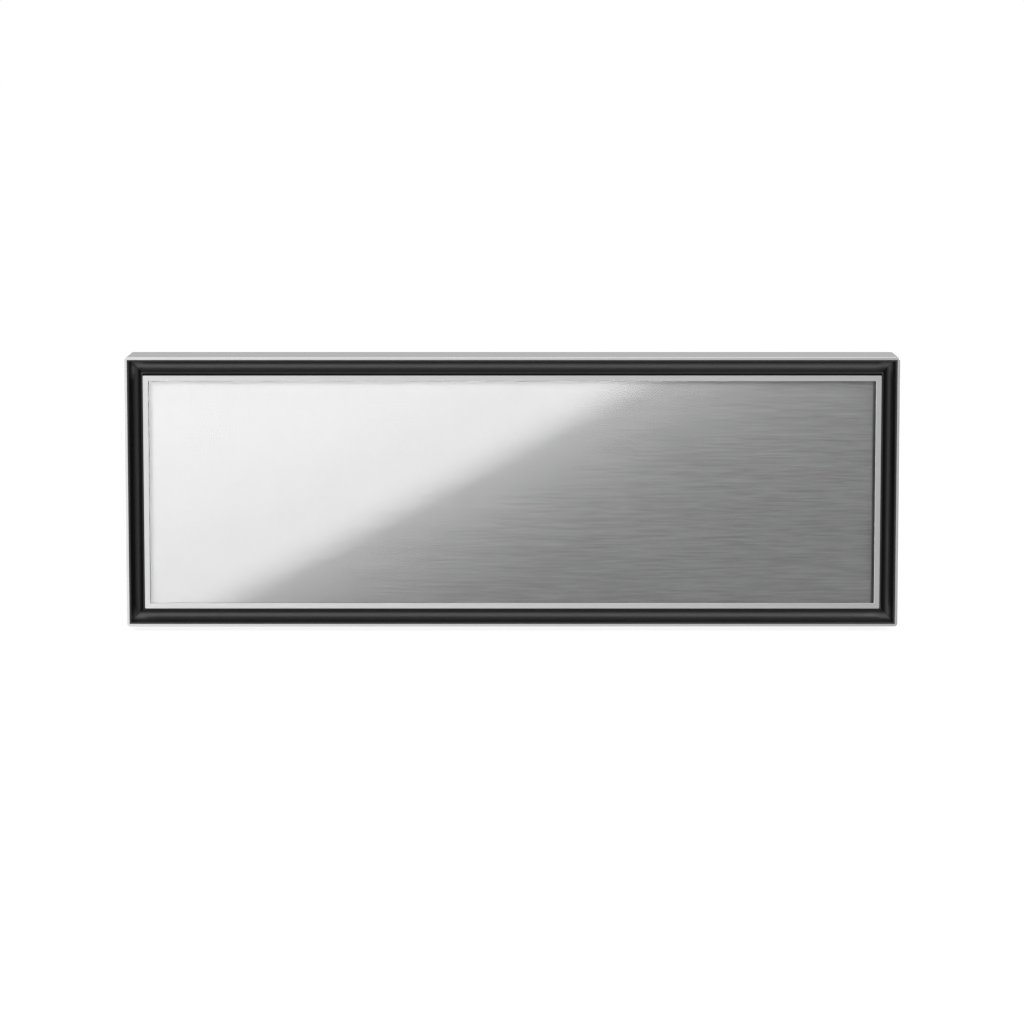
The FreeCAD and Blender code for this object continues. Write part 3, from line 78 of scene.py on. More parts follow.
# %% Camera
camera_distance = 2.967
view = bpy.data.cameras.new("view")
view.sensor_width = 36.0
view.lens = 126.2
view.shift_x = -0.0002
view.shift_y = -0.0979
camera = bpy.data.objects.new("camera", view)
camera.location = (0.0, -camera_distance, 0.455)
camera.rotation_euler = (math.radians(84.0), 0.0, 0.0)
bpy.context.scene.collection.objects.link(camera)
bpy.context.scene.camera = camera
bpy.context.scene.view_settings.view_transform = "Standard"
print("camera at", tuple(camera.location), "lens", view.lens)

# %% [markdown]
# ## Helpers for shader nodes
# Every finish is a small graph of nodes. Five helpers keep the cells short: one adds a node and
# fills its sockets with values or links, and the others do a step of arithmetic, stretch a value
# to another range, blend two colours, and give a point's coordinates. Metres are the unit, so a
# texture scale of 1000 is one line per millimetre.

# %% Node helpers
def add(tree, kind, settings=None, **inputs):
    """Adds a node. Its inputs go by name, or by place as i0, i1 and so on.

    A number fills a socket, and another node's output is linked to it.
    """
    node = tree.nodes.new("ShaderNode" + kind)
    for name, value in (settings or {}).items():
        setattr(node, name, value)
    for name, value in inputs.items():
        by_place = name[1:].isdigit()
        socket = node.inputs[int(name[1:]) if by_place else name.replace("_", " ")]
        if isinstance(value, bpy.types.NodeSocket):
            tree.links.new(value, socket)
        else:
            socket.default_value = value
    return node


def maths(tree, operation, *values, clamp=False):
    """One step of arithmetic. Returns its output."""
    inputs = {"i%d" % k: v for k, v in enumerate(values)}
    return add(tree, "Math", {"operation": operation, "use_clamp": clamp}, **inputs).outputs[0]


def remap(tree, value, low, high, to_low, to_high, smooth=False):
    """Stretches a value from one range to another."""
    settings = {"interpolation_type": "SMOOTHSTEP" if smooth else "LINEAR"}
    inputs = dict(Value=value, From_Min=low, From_Max=high, To_Min=to_low, To_Max=to_high)
    return add(tree, "MapRange", settings, **inputs).outputs[0]


def blend_colour(tree, mask, first, second):
    """A colour between two, by a mask. Either colour is three numbers or a node's output."""
    node = add(tree, "Mix", {"data_type": "RGBA"}, Factor=mask)
    for index, colour in ((6, first), (7, second)):
        if isinstance(colour, bpy.types.NodeSocket):
            tree.links.new(colour, node.inputs[index])
        else:
            node.inputs[index].default_value = (*colour, 1.0)
    return node.outputs[2]


def object_place(tree):
    """The three coordinates of a point, in the object's own metres."""
    return add(tree, "SeparateXYZ", Vector=add(tree, "TexCoord").outputs["Object"]).outputs


# %% [markdown]
# ## Studio
# Metal shows what is around it, so the light comes first. The room is a soft pale surround that is
# white to the camera, brighter on the left of the camera and darker on its right. That is what
# makes the trim run from nearly white to grey along the front. The pane would also mirror the
# room, as a faint veil that makes a render grainy. A polarising filter on a camera takes such a
# veil away, and here the light path does it: a ray that has met nothing but the pane finds a dim
# room. Such a ray enters the glass, is mirrored at its back and leaves it, so it is the third.
#
# Small area lamps would give hard bright spots on the steel, so two wide ones that no metal
# mirrors make the shadows under the object. A third, at the right, gives the black groove its
# gleam. The fourth is a photographer's trick: a small lamp near the upper left corner, with flags
# that keep its light to the sheet and its pane. Light linking is the flag, and the pane is on the
# list because the light passes it.

# %% Surround
world = bpy.data.worlds.new("studio")
world.use_nodes = True
bpy.context.scene.world = world
room = world.node_tree
room.nodes.clear()
direction = add(room, "TexCoord").outputs["Generated"]


def patch(towards, wide, narrow):
    """A soft round patch of the surround: 1 in its middle, 0 outside. Angles in degrees."""
    aim = Vector(towards).normalized()
    match = add(room, "VectorMath", {"operation": "DOT_PRODUCT"}, i0=direction, i1=aim)
    edges = math.cos(math.radians(wide)), math.cos(math.radians(narrow))
    return remap(room, match.outputs["Value"], *edges, 0.0, 1.0, smooth=True)


level = 0.80
for towards, wide, narrow, amount in (
    ((-0.55, -0.83, 0.05), 50, 8, 0.55),  # a bright patch left of the camera
    ((0.50, -0.86, -0.02), 46, 6, -0.57),  # a dark one right of it
    ((0.0, -0.10, 1.0), 60, 20, 0.35),  # light from above
    ((0.0, 0.99, 0.12), 45, 10, -0.19),  # less light from behind
):
    change = maths(room, "MULTIPLY", patch(towards, wide, narrow), amount)
    level = maths(room, "ADD", level, change)
last_pane_ray, veil_left = 3, 0.25
light_path = add(room, "LightPath").outputs
early = maths(room, "LESS_THAN", light_path["Ray Depth"], last_pane_ray + 0.5)
off_a_pane = maths(room, "MULTIPLY", light_path["Is Singular Ray"], early)
dimming = remap(room, off_a_pane, 0.0, 1.0, 1.0, veil_left)
level = maths(room, "MULTIPLY", level, dimming)
white = (1.0, 1.0, 1.0, 1.0)
glow = add(room, "Background", Color=white, Strength=level)
backdrop = add(room, "Background", Color=white, Strength=1.0)
both = add(room, "MixShader", i0=light_path["Is Camera Ray"], i1=glow.outputs[0],
           i2=backdrop.outputs[0])
add(room, "OutputWorld", Surface=both.outputs[0])
print("surround nodes:", len(room.nodes))

# %% Lamps
def softbox(name, place, target, size, power, mirrored=False):
    """A square area lamp that points at a target. Metal only mirrors it where that is wanted."""
    lamp = bpy.data.lights.new(name, "AREA")
    lamp.shape = "SQUARE"
    lamp.size = size
    lamp.energy = power
    holder = bpy.data.objects.new(name, lamp)
    holder.location = place
    holder.rotation_euler = (Vector(target) - Vector(place)).to_track_quat("-Z", "Y").to_euler()
    holder.visible_glossy = mirrored
    bpy.context.scene.collection.objects.link(holder)
    return holder


heart, front = (0, 0, 0.1), (0, -0.25, 0.1)
softbox("key", (-1.6, -1.9, 2.4), heart, 2.2, 45.0)
softbox("fill", (1.9, 1.5, 2.2), heart, 2.4, 22.0)
softbox("side", (2.0, -2.2, 1.0), front, 0.7, 40.0, mirrored=True)
corner = softbox("corner", (-0.75, -0.95, 0.75), front, 0.3, 50.0, mirrored=True)
sheet_and_pane = bpy.data.collections.new("sheet_and_pane")
for node in ("front_backing", "front_glass"):
    sheet_and_pane.objects.link(nodes[node])
corner.light_linking.receiver_collection = sheet_and_pane

# %% [markdown]
# ## Floor
# The floor is plain and pale. It glows faintly by itself, as an overlit paper sweep does, so it
# meets the white background without a line and keeps only a light shadow under the object. It
# would show in the metal as a bright band, and in the pane as a bright veil. An image in the pane
# is mirrored at its back and leaves it through its face, as light that passed the glass. So the
# floor is hidden both from rays that are mirrored and from rays that come through glass.

# %% Floor
bpy.ops.object.select_all(action="DESELECT")
bpy.ops.mesh.primitive_plane_add(size=60.0, location=(0, 0, 0))
floor = bpy.context.object
floor.name = "floor"
floor.visible_glossy = False
floor.visible_transmission = False
paper = bpy.data.materials.new("paper")
paper.use_nodes = True
tree = paper.node_tree
tree.nodes.clear()
own_light = add(tree, "Emission", Strength=0.86)
shaded = add(tree, "BsdfDiffuse", Color=(0.16, 0.16, 0.16, 1.0))
total = add(tree, "AddShader", i0=own_light.outputs[0], i1=shaded.outputs[0])
add(tree, "OutputMaterial", Surface=total.outputs[0])
floor.data.materials.append(paper)
floor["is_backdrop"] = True
print("floor:", [round(side) for side in floor.dimensions], "m")

# %% [markdown]
# ## The light panel that the glass mirrors
# The front shows a broad slanting sheen: a light panel beside the camera, mirrored in the glass.
# Its edge is sharp in the mirror image, then fades over a hand's width. A lamp would light the
# metal too, so this is a card whose glow only shows in a perfect mirror: the card's material asks
# the light path whether it came from a sharp reflection. The card is the whole plane that the pane
# mirrors, and a formula draws the panel on it, by the distance in metres from a slanting line. The
# panel dims a little towards its edge. Beyond the edge a halo fades with a power of the distance
# that is left to its end.

# %% Light panel
card_middle = (0.0, -camera_distance, -0.24)
card_width, card_height = 1.3, 0.52
edge_point = Vector((-0.416, 0.0, -0.410))
edge_slope = math.radians(28.0)
panel_power = 14.0
bpy.ops.mesh.primitive_plane_add(size=1.0, location=card_middle, rotation=(math.radians(90), 0, 0))
card = bpy.context.object
card.name = "light_panel"
card.scale = (card_width, card_height, 1.0)
bpy.ops.object.transform_apply(location=True, rotation=True, scale=True)
for ray in ("camera", "diffuse", "transmission", "shadow"):
    setattr(card, "visible_" + ray, False)
sheen = bpy.data.materials.new("panel_glow")
sheen.use_nodes = True
sheen.cycles.emission_sampling = "NONE"
tree = sheen.node_tree
tree.nodes.clear()
place = object_place(tree)
off_x = maths(tree, "SUBTRACT", place[0], edge_point.x)
off_z = maths(tree, "SUBTRACT", place[2], edge_point.z)
share_x = maths(tree, "MULTIPLY", off_x, math.sin(edge_slope))
share_z = maths(tree, "MULTIPLY", off_z, -math.cos(edge_slope))
distance = maths(tree, "ADD", share_x, share_z)
panel_start, edge_start, edge_end, halo_end = -0.18, -0.048, 0.016, 0.51
edge_light, halo_light, halo_power = 0.91, 0.64, 5.4
panel = remap(tree, distance, panel_start, edge_end, 1.0, edge_light)
left = remap(tree, distance, edge_start, halo_end, 1.0, 0.0)
halo = maths(tree, "MULTIPLY", maths(tree, "POWER", left, halo_power), halo_light)
beyond = remap(tree, distance, edge_start, edge_end, 0.0, 1.0, smooth=True)
level = maths(tree, "MULTIPLY", remap(tree, beyond, 0.0, 1.0, panel, halo), panel_power)
path = add(tree, "LightPath").outputs
not_through = maths(tree, "SUBTRACT", 1.0, path["Is Transmission Ray"])
mirror_only = maths(tree, "MULTIPLY", path["Is Singular Ray"], not_through)
glow = add(tree, "Emission", Strength=maths(tree, "MULTIPLY", mirror_only, level))
clear = add(tree, "BsdfTransparent")
mixed = add(tree, "MixShader", i0=mirror_only, i1=clear.outputs[0], i2=glow.outputs[0])
add(tree, "OutputMaterial", Surface=mixed.outputs[0])
card.data.materials.append(sheen)
card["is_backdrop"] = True
print("light panel: its halo ends", round(1000 * halo_end), "mm from the line")

# %% [markdown]
# ## Effects that several finishes share
# Brushed lines, a moulded grain, cloudy wear and zinc crystals turn up on many pieces. Each is a
# node group that is built once: it reads the object's own coordinates in metres, and gives back a
# mask, and where it has a depth, a bumped normal. A material then decides what the mask does to
# its colour and gloss. The noise of the brushed lines seldom leaves the range from 0.3 to 0.7, so
# the materials stretch that range.

# %% Group helper
def new_group(name, inputs, outputs):
    """An empty node group with named sockets, and its input and output nodes."""
    tree = bpy.data.node_groups.new(name, "ShaderNodeTree")
    for label, kind, value in inputs:
        socket = tree.interface.new_socket(label, in_out="INPUT", socket_type="NodeSocket" + kind)
        socket.default_value = value
    for label, kind in outputs:
        tree.interface.new_socket(label, in_out="OUTPUT", socket_type="NodeSocket" + kind)
    entry = tree.nodes.new("NodeGroupInput").outputs
    end = tree.nodes.new("NodeGroupOutput").inputs
    return tree, entry, end


def scaled_place(tree, scale):
    """The object's coordinates times a scale, which is one number or three."""
    where = add(tree, "TexCoord").outputs["Object"]
    return add(tree, "VectorMath", {"operation": "MULTIPLY"}, i0=where, i1=scale).outputs[0]


# %% Brushed lines
line_range = (0.3, 0.7)
brushed, entry, end = new_group(
    "brushed_lines",
    [("Scale", "Vector", (50, 50, 1250)), ("Depth", "Float", 0.3)],
    [("Lines", "Float"), ("Normal", "Vector")],
)
where = scaled_place(brushed, entry["Scale"])
fine = add(brushed, "TexNoise", Vector=where, Scale=1.0, Detail=3.0, Roughness=0.6).outputs[0]
apart = add(brushed, "VectorMath", {"operation": "MULTIPLY"}, i0=where, i1=(0.13, 0.13, 0.21))
broad = add(brushed, "TexNoise", Vector=apart.outputs[0], Scale=1.0, Detail=2.0).outputs[0]
fine_part = maths(brushed, "MULTIPLY", fine, 0.85)
lines = maths(brushed, "ADD", fine_part, maths(brushed, "MULTIPLY", broad, 0.15))
bump = add(brushed, "Bump", Height=lines, Strength=entry["Depth"], Distance=0.0001)
brushed.links.new(lines, end["Lines"])
brushed.links.new(bump.outputs[0], end["Normal"])

# %% Moulded grain
grained, entry, end = new_group(
    "moulded_grain",
    [("Scale", "Float", 1500.0), ("Depth", "Float", 0.4)],
    [("Grain", "Float"), ("Normal", "Vector")],
)
where = scaled_place(grained, entry["Scale"])
cells = add(grained, "TexVoronoi", {"feature": "SMOOTH_F1"}, Vector=where, Scale=1.0)
dust = add(grained, "TexNoise", Vector=where, Scale=0.6, Detail=4.0).outputs[0]
grain = maths(grained, "MULTIPLY", maths(grained, "ADD", cells.outputs["Distance"], dust), 0.6)
bump = add(grained, "Bump", Height=grain, Strength=entry["Depth"], Distance=0.0002)
grained.links.new(grain, end["Grain"])
grained.links.new(bump.outputs[0], end["Normal"])

# %% Cloudy wear
cloudy, entry, end = new_group(
    "cloudy_wear",
    [("Scale", "Float", 12.0), ("Low", "Float", 0.35), ("High", "Float", 0.75)],
    [("Cloud", "Float")],
)
where = scaled_place(cloudy, entry["Scale"])
noise = add(cloudy, "TexNoise", Vector=where, Scale=1.0, Detail=6.0).outputs[0]
cloud = remap(cloudy, noise, entry["Low"], entry["High"], 0.0, 1.0, smooth=True)
cloudy.links.new(cloud, end["Cloud"])

# %% Zinc crystals
spangled, entry, end = new_group(
    "zinc_crystals",
    [("Scale", "Float", 90.0)],
    [("Crystal", "Float")],
)
where = scaled_place(spangled, entry["Scale"])
wobble = add(spangled, "TexNoise", Vector=where, Scale=1.3, Detail=2.0).outputs[1]
bent = add(spangled, "VectorMath", {"operation": "MULTIPLY_ADD"}, i0=wobble, i1=(0.5, 0.5, 0.5),
           i2=where)
flakes = add(spangled, "TexVoronoi", Vector=bent.outputs[0], Scale=1.0)
tone = add(spangled, "SeparateXYZ", Vector=flakes.outputs["Color"]).outputs[0]
spangled.links.new(tone, end["Crystal"])
print("shared groups:", [shared.name for shared in bpy.data.node_groups])

# %% [markdown]
# ## Materials
# A material starts with its shader. The numbers that are the same all over are set on the shader
# itself, and the groups feed only its colour, its roughness and its normal. All bare metals share
# one recipe, with their own colour, gloss and direction of brushing.

# %% Material helpers
finishes = {}


def new_finish(slot, **plain):
    """A material for one of the record's slots, with the shader's plain values set."""
    material = bpy.data.materials.new(slot)
    material.use_nodes = True
    tree = material.node_tree
    shader = tree.nodes["Principled BSDF"]
    for name, value in plain.items():
        shader.inputs[name.replace("_", " ")].default_value = value
    finishes[slot] = material
    return tree, shader


def group(tree, source, **values):
    """Places a shared effect in a material, with this material's values."""
    return add(tree, "Group", {"node_tree": source}, **values).outputs


def wire(tree, shader, **outputs):
    """Links outputs to the shader's sockets by name."""
    for name, value in outputs.items():
        tree.links.new(value, shader.inputs[name.replace("_", " ")])


def bare_metal(slot, colour, darker, gloss, scale, depth=0.15, **plain):
    """A brushed or rolled metal: its lines vary its colour and gloss, and clouds dull it a bit.

    The gloss is the roughness of a light line and of a dark one.
    """
    tree, shader = new_finish(slot, Metallic=1.0, **plain)
    lines = group(tree, brushed, Scale=scale, Depth=depth)
    cloud = group(tree, cloudy, Scale=9.0)["Cloud"]
    tone = remap(tree, lines["Lines"], *line_range, 0.0, 1.0)
    base = blend_colour(tree, tone, darker, colour)
    level = remap(tree, lines["Lines"], *line_range, gloss[1], gloss[0])
    rough = maths(tree, "ADD", level, maths(tree, "MULTIPLY", cloud, 0.03))
    wire(tree, shader, Base_Color=base, Roughness=rough, Normal=lines["Normal"])
    return tree, shader


def moulded(slot, colour, paler, rough, grain, depth=0.3, **plain):
    """A plastic, rubber or paint: a fine grain, and paler clouds of dust and wear."""
    tree, shader = new_finish(slot, **plain)
    texture = group(tree, grained, Scale=grain, Depth=depth)
    cloud = group(tree, cloudy, Scale=25.0, Low=0.40, High=0.80)["Cloud"]
    mask = maths(tree, "MULTIPLY", maths(tree, "ADD", cloud, texture["Grain"]), 0.5)
    base = blend_colour(tree, mask, colour, paler)
    level = remap(tree, mask, 0.0, 1.0, rough[0], rough[1])
    wire(tree, shader, Base_Color=base, Roughness=level, Normal=texture["Normal"])
    return tree, shader


# %% [markdown]
# ### The front: surround, groove and trim
# The surround and the trim are satin metal bars, brushed along their length and mitred at the
# corners. On one mesh the brushing has to turn by itself, so the material compares how far a point
# is from the sides and from the top and bottom, and takes the upright lines beyond the mitre. The
# faces behind the front edge are a shade darker. This is painted shade, which keeps the top and
# sides less bright than the front edge under the light from above.

# %% Satin bars
surround_low, surround_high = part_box("front_frame")


def upright_bars(tree, place):
    """A mask of the frame's upright bars, up to the mitres where they meet the other two."""
    middle_z = (surround_low.z + surround_high.z) / 2
    half_height = (surround_high.z - surround_low.z) / 2
    to_side = maths(tree, "SUBTRACT", surround_high.x, maths(tree, "ABSOLUTE", place[0]))
    off_middle = maths(tree, "ABSOLUTE", maths(tree, "SUBTRACT", place[2], middle_z))
    to_top = maths(tree, "SUBTRACT", half_height, off_middle)
    return maths(tree, "LESS_THAN", to_side, to_top)


coarse, fine = 60.0, 3000.0
front_edge_depth = 0.0025
tree, shader = new_finish("frame_metal", Metallic=1.0, Base_Color=(0.74, 0.74, 0.745, 1.0))
place = object_place(tree)
upright = upright_bars(tree, place)
across = group(tree, brushed, Scale=(coarse, fine, fine), Depth=0.03)
upwards = group(tree, brushed, Scale=(fine, fine, coarse), Depth=0.03)
lines = add(tree, "Mix", {"data_type": "FLOAT"}, i0=upright, i2=across["Lines"],
            i3=upwards["Lines"]).outputs[0]
normal = add(tree, "Mix", {"data_type": "VECTOR"}, i0=upright, i4=across["Normal"],
             i5=upwards["Normal"]).outputs[1]
tone = remap(tree, lines, *line_range, 0.0, 1.0)
front_tone = blend_colour(tree, tone, (0.70, 0.70, 0.705), (0.78, 0.78, 0.785))
# Painted shade: the faces behind the front edge take this darker copy of the colour.
shaded_skin = blend_colour(tree, tone, (0.55, 0.55, 0.555), (0.61, 0.61, 0.615))
shaded_behind_edge = maths(tree, "GREATER_THAN", place[1], surround_low.y + front_edge_depth)
wire(tree, shader, Base_Color=blend_colour(tree, shaded_behind_edge, front_tone, shaded_skin),
     Roughness=remap(tree, lines, *line_range, 0.27, 0.22), Normal=normal)

# %% [markdown]
# The groove is black anodised aluminium: its rolled channel has a dark metal gleam, while its edges
# and the flat band in front of it are matt. The depth of a point tells which of them it is on, and
# the mitre again tells the upright bars. Their metal colour is darker, a painted shade: the upright
# bars catch less of the light from above and below.

# %% Black groove and carrier
black, soot = (0.008, 0.008, 0.008), (0.013, 0.013, 0.013)
channel_start, channel_full = 0.0088, 0.0098
tree, shader = moulded("liner_black", black, soot, (0.42, 0.50), 2600.0, 0.12)
place = object_place(tree)
channel = remap(tree, place[1], surround_low.y + channel_start, surround_low.y + channel_full,
                0.0, 1.0, smooth=True)
# Painted shade: the channel's metal colour is darker on the upright bars than on the top and
# bottom.
gleam_and_upright_shade = blend_colour(tree, upright_bars(tree, place), (0.13, 0.13, 0.13), (0.06, 0.06, 0.06))
matt = shader.inputs["Base Color"].links[0].from_socket
wire(tree, shader, Base_Color=blend_colour(tree, channel, matt, gleam_and_upright_shade),
     Metallic=maths(tree, "MULTIPLY", channel, 0.87))
moulded("carrier_black", black, (0.014, 0.014, 0.014), (0.50, 0.60), 2200.0, 0.2)
print("surround and groove:", list(finishes))

# %% [markdown]
# ### The pane and the steel behind it
# The pane is clear glass, quite flat, so its mirror image is sharp. Its tint hardly varies, as in
# float glass that hands have touched and someone has wiped. Light has to reach the steel behind
# it, and a plain glass shader would block the lamps' shadow rays, so for those rays only the
# material turns transparent.
#
# The sheet behind it is brushed from side to side: it is smooth along the lines and rough across
# them, which stretches reflections upwards. At both ends its colour darkens to a strip about a
# millimetre wide beside the trim. This is painted shade: the shadow that the trim casts on the
# sheet.

# %% Clear pane
clean, touched = (0.885, 0.885, 0.885), (0.873, 0.875, 0.874)
tree, shader = new_finish("front_glass", Roughness=0.0, IOR=1.5, Transmission_Weight=1.0)
haze = group(tree, cloudy, Scale=14.0)["Cloud"]
wire(tree, shader, Base_Color=blend_colour(tree, haze, clean, touched))
passes = add(tree, "LightPath").outputs["Is Shadow Ray"]
open_way = add(tree, "BsdfTransparent", Color=(0.85, 0.85, 0.85, 1.0))
surface = add(tree, "MixShader", i0=passes, i1=shader.outputs[0], i2=open_way.outputs[0])
tree.links.new(surface.outputs[0], tree.nodes["Material Output"].inputs["Surface"])

# %% Brushed sheet
tree, shader = bare_metal("front_steel", (0.184, 0.184, 0.184), (0.118, 0.118, 0.118),
                          (0.51, 0.57), (38.0, 38.0, 900.0), 0.03, Anisotropic=0.4)
# Painted shade: the sheet's colour darkens in a strip beside the trim at both ends.
shade_full, shade_end = 0.0026, 0.0039
sheet_low, sheet_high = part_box("front_backing")
from_middle = maths(tree, "ABSOLUTE", object_place(tree)[0])
to_side = maths(tree, "SUBTRACT", sheet_high.x, from_middle)
painted_shade_strip = remap(tree, to_side, shade_full, shade_end, 1.0, 0.0, smooth=True)
steel = shader.inputs["Base Color"].links[0].from_socket
wire(tree, shader, Base_Color=blend_colour(tree, painted_shade_strip, steel, (0.035, 0.035, 0.035)))
print("brushed sheet:", [round(1000 * side, 1) for side in sheet_high - sheet_low], "mm")

# %% [markdown]
# ### Metals inside and behind
# The tray and the small steel parts use the bare metal recipe. Rolled sheet has long faint lines,
# turned parts have fine rings that look like grain from a distance, and balls are polished.

# %% Steel parts
for slot, colour, darker, gloss, scale, depth in (
    ("tray_steel", (0.66, 0.65, 0.63), (0.56, 0.55, 0.54), (0.26, 0.34), (1400, 40, 1400), 0.12),
    ("rail_steel", (0.62, 0.64, 0.66), (0.48, 0.50, 0.53), (0.28, 0.38), (900, 30, 900), 0.15),
    ("ball_steel", (0.78, 0.78, 0.79), (0.66, 0.66, 0.67), (0.08, 0.14), (900, 900, 900), 0.03),
    ("screw_steel", (0.70, 0.70, 0.69), (0.54, 0.54, 0.54), (0.24, 0.36), (1600, 1600, 1600), 0.12),
    ("black_screws", (0.05, 0.05, 0.052), (0.025, 0.025, 0.026), (0.38, 0.50),
     (1500, 1500, 1500), 0.15),
    ("knob_metal", (0.62, 0.62, 0.63), (0.50, 0.50, 0.51), (0.24, 0.34), (2600, 2600, 2600), 0.15),
    ("heater_tube", (0.34, 0.31, 0.28), (0.20, 0.18, 0.17), (0.38, 0.52), (700, 700, 700), 0.2),
    ("motor_steel", (0.58, 0.58, 0.57), (0.44, 0.44, 0.44), (0.32, 0.44), (1200, 1200, 60), 0.2),
    ("spring_steel", (0.52, 0.51, 0.48), (0.38, 0.37, 0.35), (0.26, 0.36), (2500, 2500, 2500), 0.1),
):
    bare_metal(slot, colour, darker, gloss, scale, depth)
print("metals:", [slot for slot in finishes if slot.endswith("steel")])

# %% [markdown]
# The casing is hot-dip galvanised sheet. Zinc sets in flat crystals a few millimetres across, each
# with its own shade and gloss, with finer ones between them. The sheet also carries the long faint
# lines of the rolling mill, and dull clouds from handling.

# %% Galvanised sheet
tree, shader = new_finish("galvanised", Metallic=1.0)
flakes = group(tree, spangled, Scale=210.0)
chips = group(tree, spangled, Scale=620.0)
lines = group(tree, brushed, Scale=(500.0, 30.0, 500.0), Depth=0.05)
cloud = group(tree, cloudy, Scale=7.0)["Cloud"]
large = maths(tree, "MULTIPLY", flakes["Crystal"], 0.65)
shade = maths(tree, "ADD", large, maths(tree, "MULTIPLY", chips["Crystal"], 0.35))
zinc = blend_colour(tree, shade, (0.50, 0.515, 0.53), (0.62, 0.63, 0.64))
dull = blend_colour(tree, maths(tree, "MULTIPLY", cloud, 0.4), zinc, (0.50, 0.51, 0.52))
level = remap(tree, shade, 0.0, 1.0, 0.46, 0.34)
rough = maths(tree, "ADD", level, maths(tree, "MULTIPLY", cloud, 0.08))
wire(tree, shader, Base_Color=dull, Roughness=rough, Normal=lines["Normal"])
print("galvanised nodes:", len(tree.nodes))

# %% [markdown]
# ### Plastic, rubber, wool and board
# Moulded plastic has a spark-eroded grain and gathers pale dust. Rubber is darker and duller. The
# mineral wool is a felt of crossed fibres: two noises, stretched in two directions, make it look
# combed. The circuit board has copper tracks under green lacquer.

# %% Plastics and rubbers
moulded("black_plastic", (0.012, 0.012, 0.013), (0.028, 0.028, 0.029), (0.42, 0.56), 1300.0, 0.35)
moulded("grey_plastic", (0.16, 0.165, 0.17), (0.22, 0.225, 0.23), (0.40, 0.52), 1500.0, 0.25)
moulded("white_plastic", (0.72, 0.71, 0.68), (0.80, 0.79, 0.77), (0.32, 0.44), 1500.0, 0.2)
moulded("black_rubber", (0.014, 0.014, 0.014), (0.034, 0.033, 0.032), (0.62, 0.80), 900.0, 0.4)
moulded("seal_rubber", (0.020, 0.020, 0.020), (0.036, 0.035, 0.034), (0.48, 0.62), 1800.0, 0.2)
moulded("mat_grey", (0.060, 0.062, 0.064), (0.085, 0.086, 0.088), (0.55, 0.70), 1600.0, 0.25,
        Sheen_Weight=0.15)
moulded("panel_foam", (0.55, 0.52, 0.44), (0.66, 0.62, 0.52), (0.85, 0.95), 700.0, 0.6)
moulded("wire_sheath", (0.030, 0.030, 0.032), (0.060, 0.060, 0.062), (0.38, 0.50), 1200.0, 0.15)

# %% Smoked glass and lamp
tree, shader = new_finish("smoked_glass", IOR=1.5, Coat_Roughness=0.02)
cloud = group(tree, cloudy, Scale=30.0, Low=0.45, High=0.85)["Cloud"]
texture = group(tree, grained, Scale=2200.0, Depth=0.05)
base = blend_colour(tree, cloud, (0.012, 0.012, 0.013), (0.018, 0.018, 0.019))
wire(tree, shader, Base_Color=base, Roughness=remap(tree, cloud, 0.0, 1.0, 0.05, 0.12),
     Normal=texture["Normal"])
tree, shader = new_finish("lamp_amber", IOR=1.49, Transmission_Weight=0.6, Emission_Strength=0.5)
ripple = group(tree, brushed, Scale=(900.0, 900.0, 900.0), Depth=0.3)
amber = blend_colour(tree, ripple["Lines"], (0.80, 0.26, 0.03), (0.95, 0.42, 0.06))
wire(tree, shader, Base_Color=amber, Emission_Color=amber, Normal=ripple["Normal"],
     Roughness=remap(tree, ripple["Lines"], 0.0, 1.0, 0.08, 0.22))

# %% Mineral wool and circuit board
tree, shader = new_finish("mineral_wool", Sheen_Weight=0.3)
combed = group(tree, brushed, Scale=(40.0, 900.0, 900.0), Depth=0.8)
crossed = group(tree, brushed, Scale=(900.0, 60.0, 700.0), Depth=0.8)
tangle = maths(tree, "MAXIMUM", combed["Lines"], crossed["Lines"])
wool = remap(tree, tangle, 0.4, 0.7, 0.0, 1.0)
base = blend_colour(tree, wool, (0.42, 0.36, 0.22), (0.68, 0.62, 0.44))
normal = add(tree, "Mix", {"data_type": "VECTOR"}, i0=0.5, i4=combed["Normal"],
             i5=crossed["Normal"]).outputs[1]
wire(tree, shader, Base_Color=base, Roughness=remap(tree, tangle, 0.3, 0.8, 0.95, 0.8),
     Normal=normal)
tree, shader = new_finish("board_green", Coat_Roughness=0.2, IOR=1.5)
where = scaled_place(tree, (600.0, 600.0, 600.0))
tracks = add(tree, "TexBrick", Vector=where, Scale=1.0, Mortar_Size=0.04, Brick_Width=3.0,
             Row_Height=1.0).outputs["Fac"]
base = blend_colour(tree, tracks, (0.012, 0.10, 0.035), (0.03, 0.17, 0.06))
lacquer = group(tree, grained, Scale=1200.0, Depth=0.1)
wire(tree, shader, Base_Color=base, Roughness=remap(tree, tracks, 0.0, 1.0, 0.28, 0.20),
     Normal=lacquer["Normal"])
print("finishes:", len(finishes))

# %% [markdown]
# ### Giving each CAD piece its finish
# The record says which slot each piece belongs to, so the pieces are dressed from that list.

# %% Dress the pieces
undone = set()
for part in frame["record"]["subparts"]:
    piece = nodes[part["node"]]
    slot = part["material_slot"]
    if slot not in finishes:
        undone.add(slot)
        continue
    piece.data.materials.clear()
    piece.data.materials.append(finishes[slot])
print("slots without a finish:", sorted(undone))

# %% [markdown]
# ## Modelling helpers
# The finer pieces are modelled by hand, so to speak: a primitive is added at its place, and its
# faces and edges are picked by where they are or which way they face, then inset, extruded and
# bevelled. The place is applied to the mesh at once, so a point's coordinates are where it is.
# Two places count as the same when they differ by less than a hair, a tenth of a millimetre. A
# face looks along an axis when that axis has nearly all of its normal.

# %% Modelling helpers
import bmesh

hair = 0.0001
nearly_all = 0.9


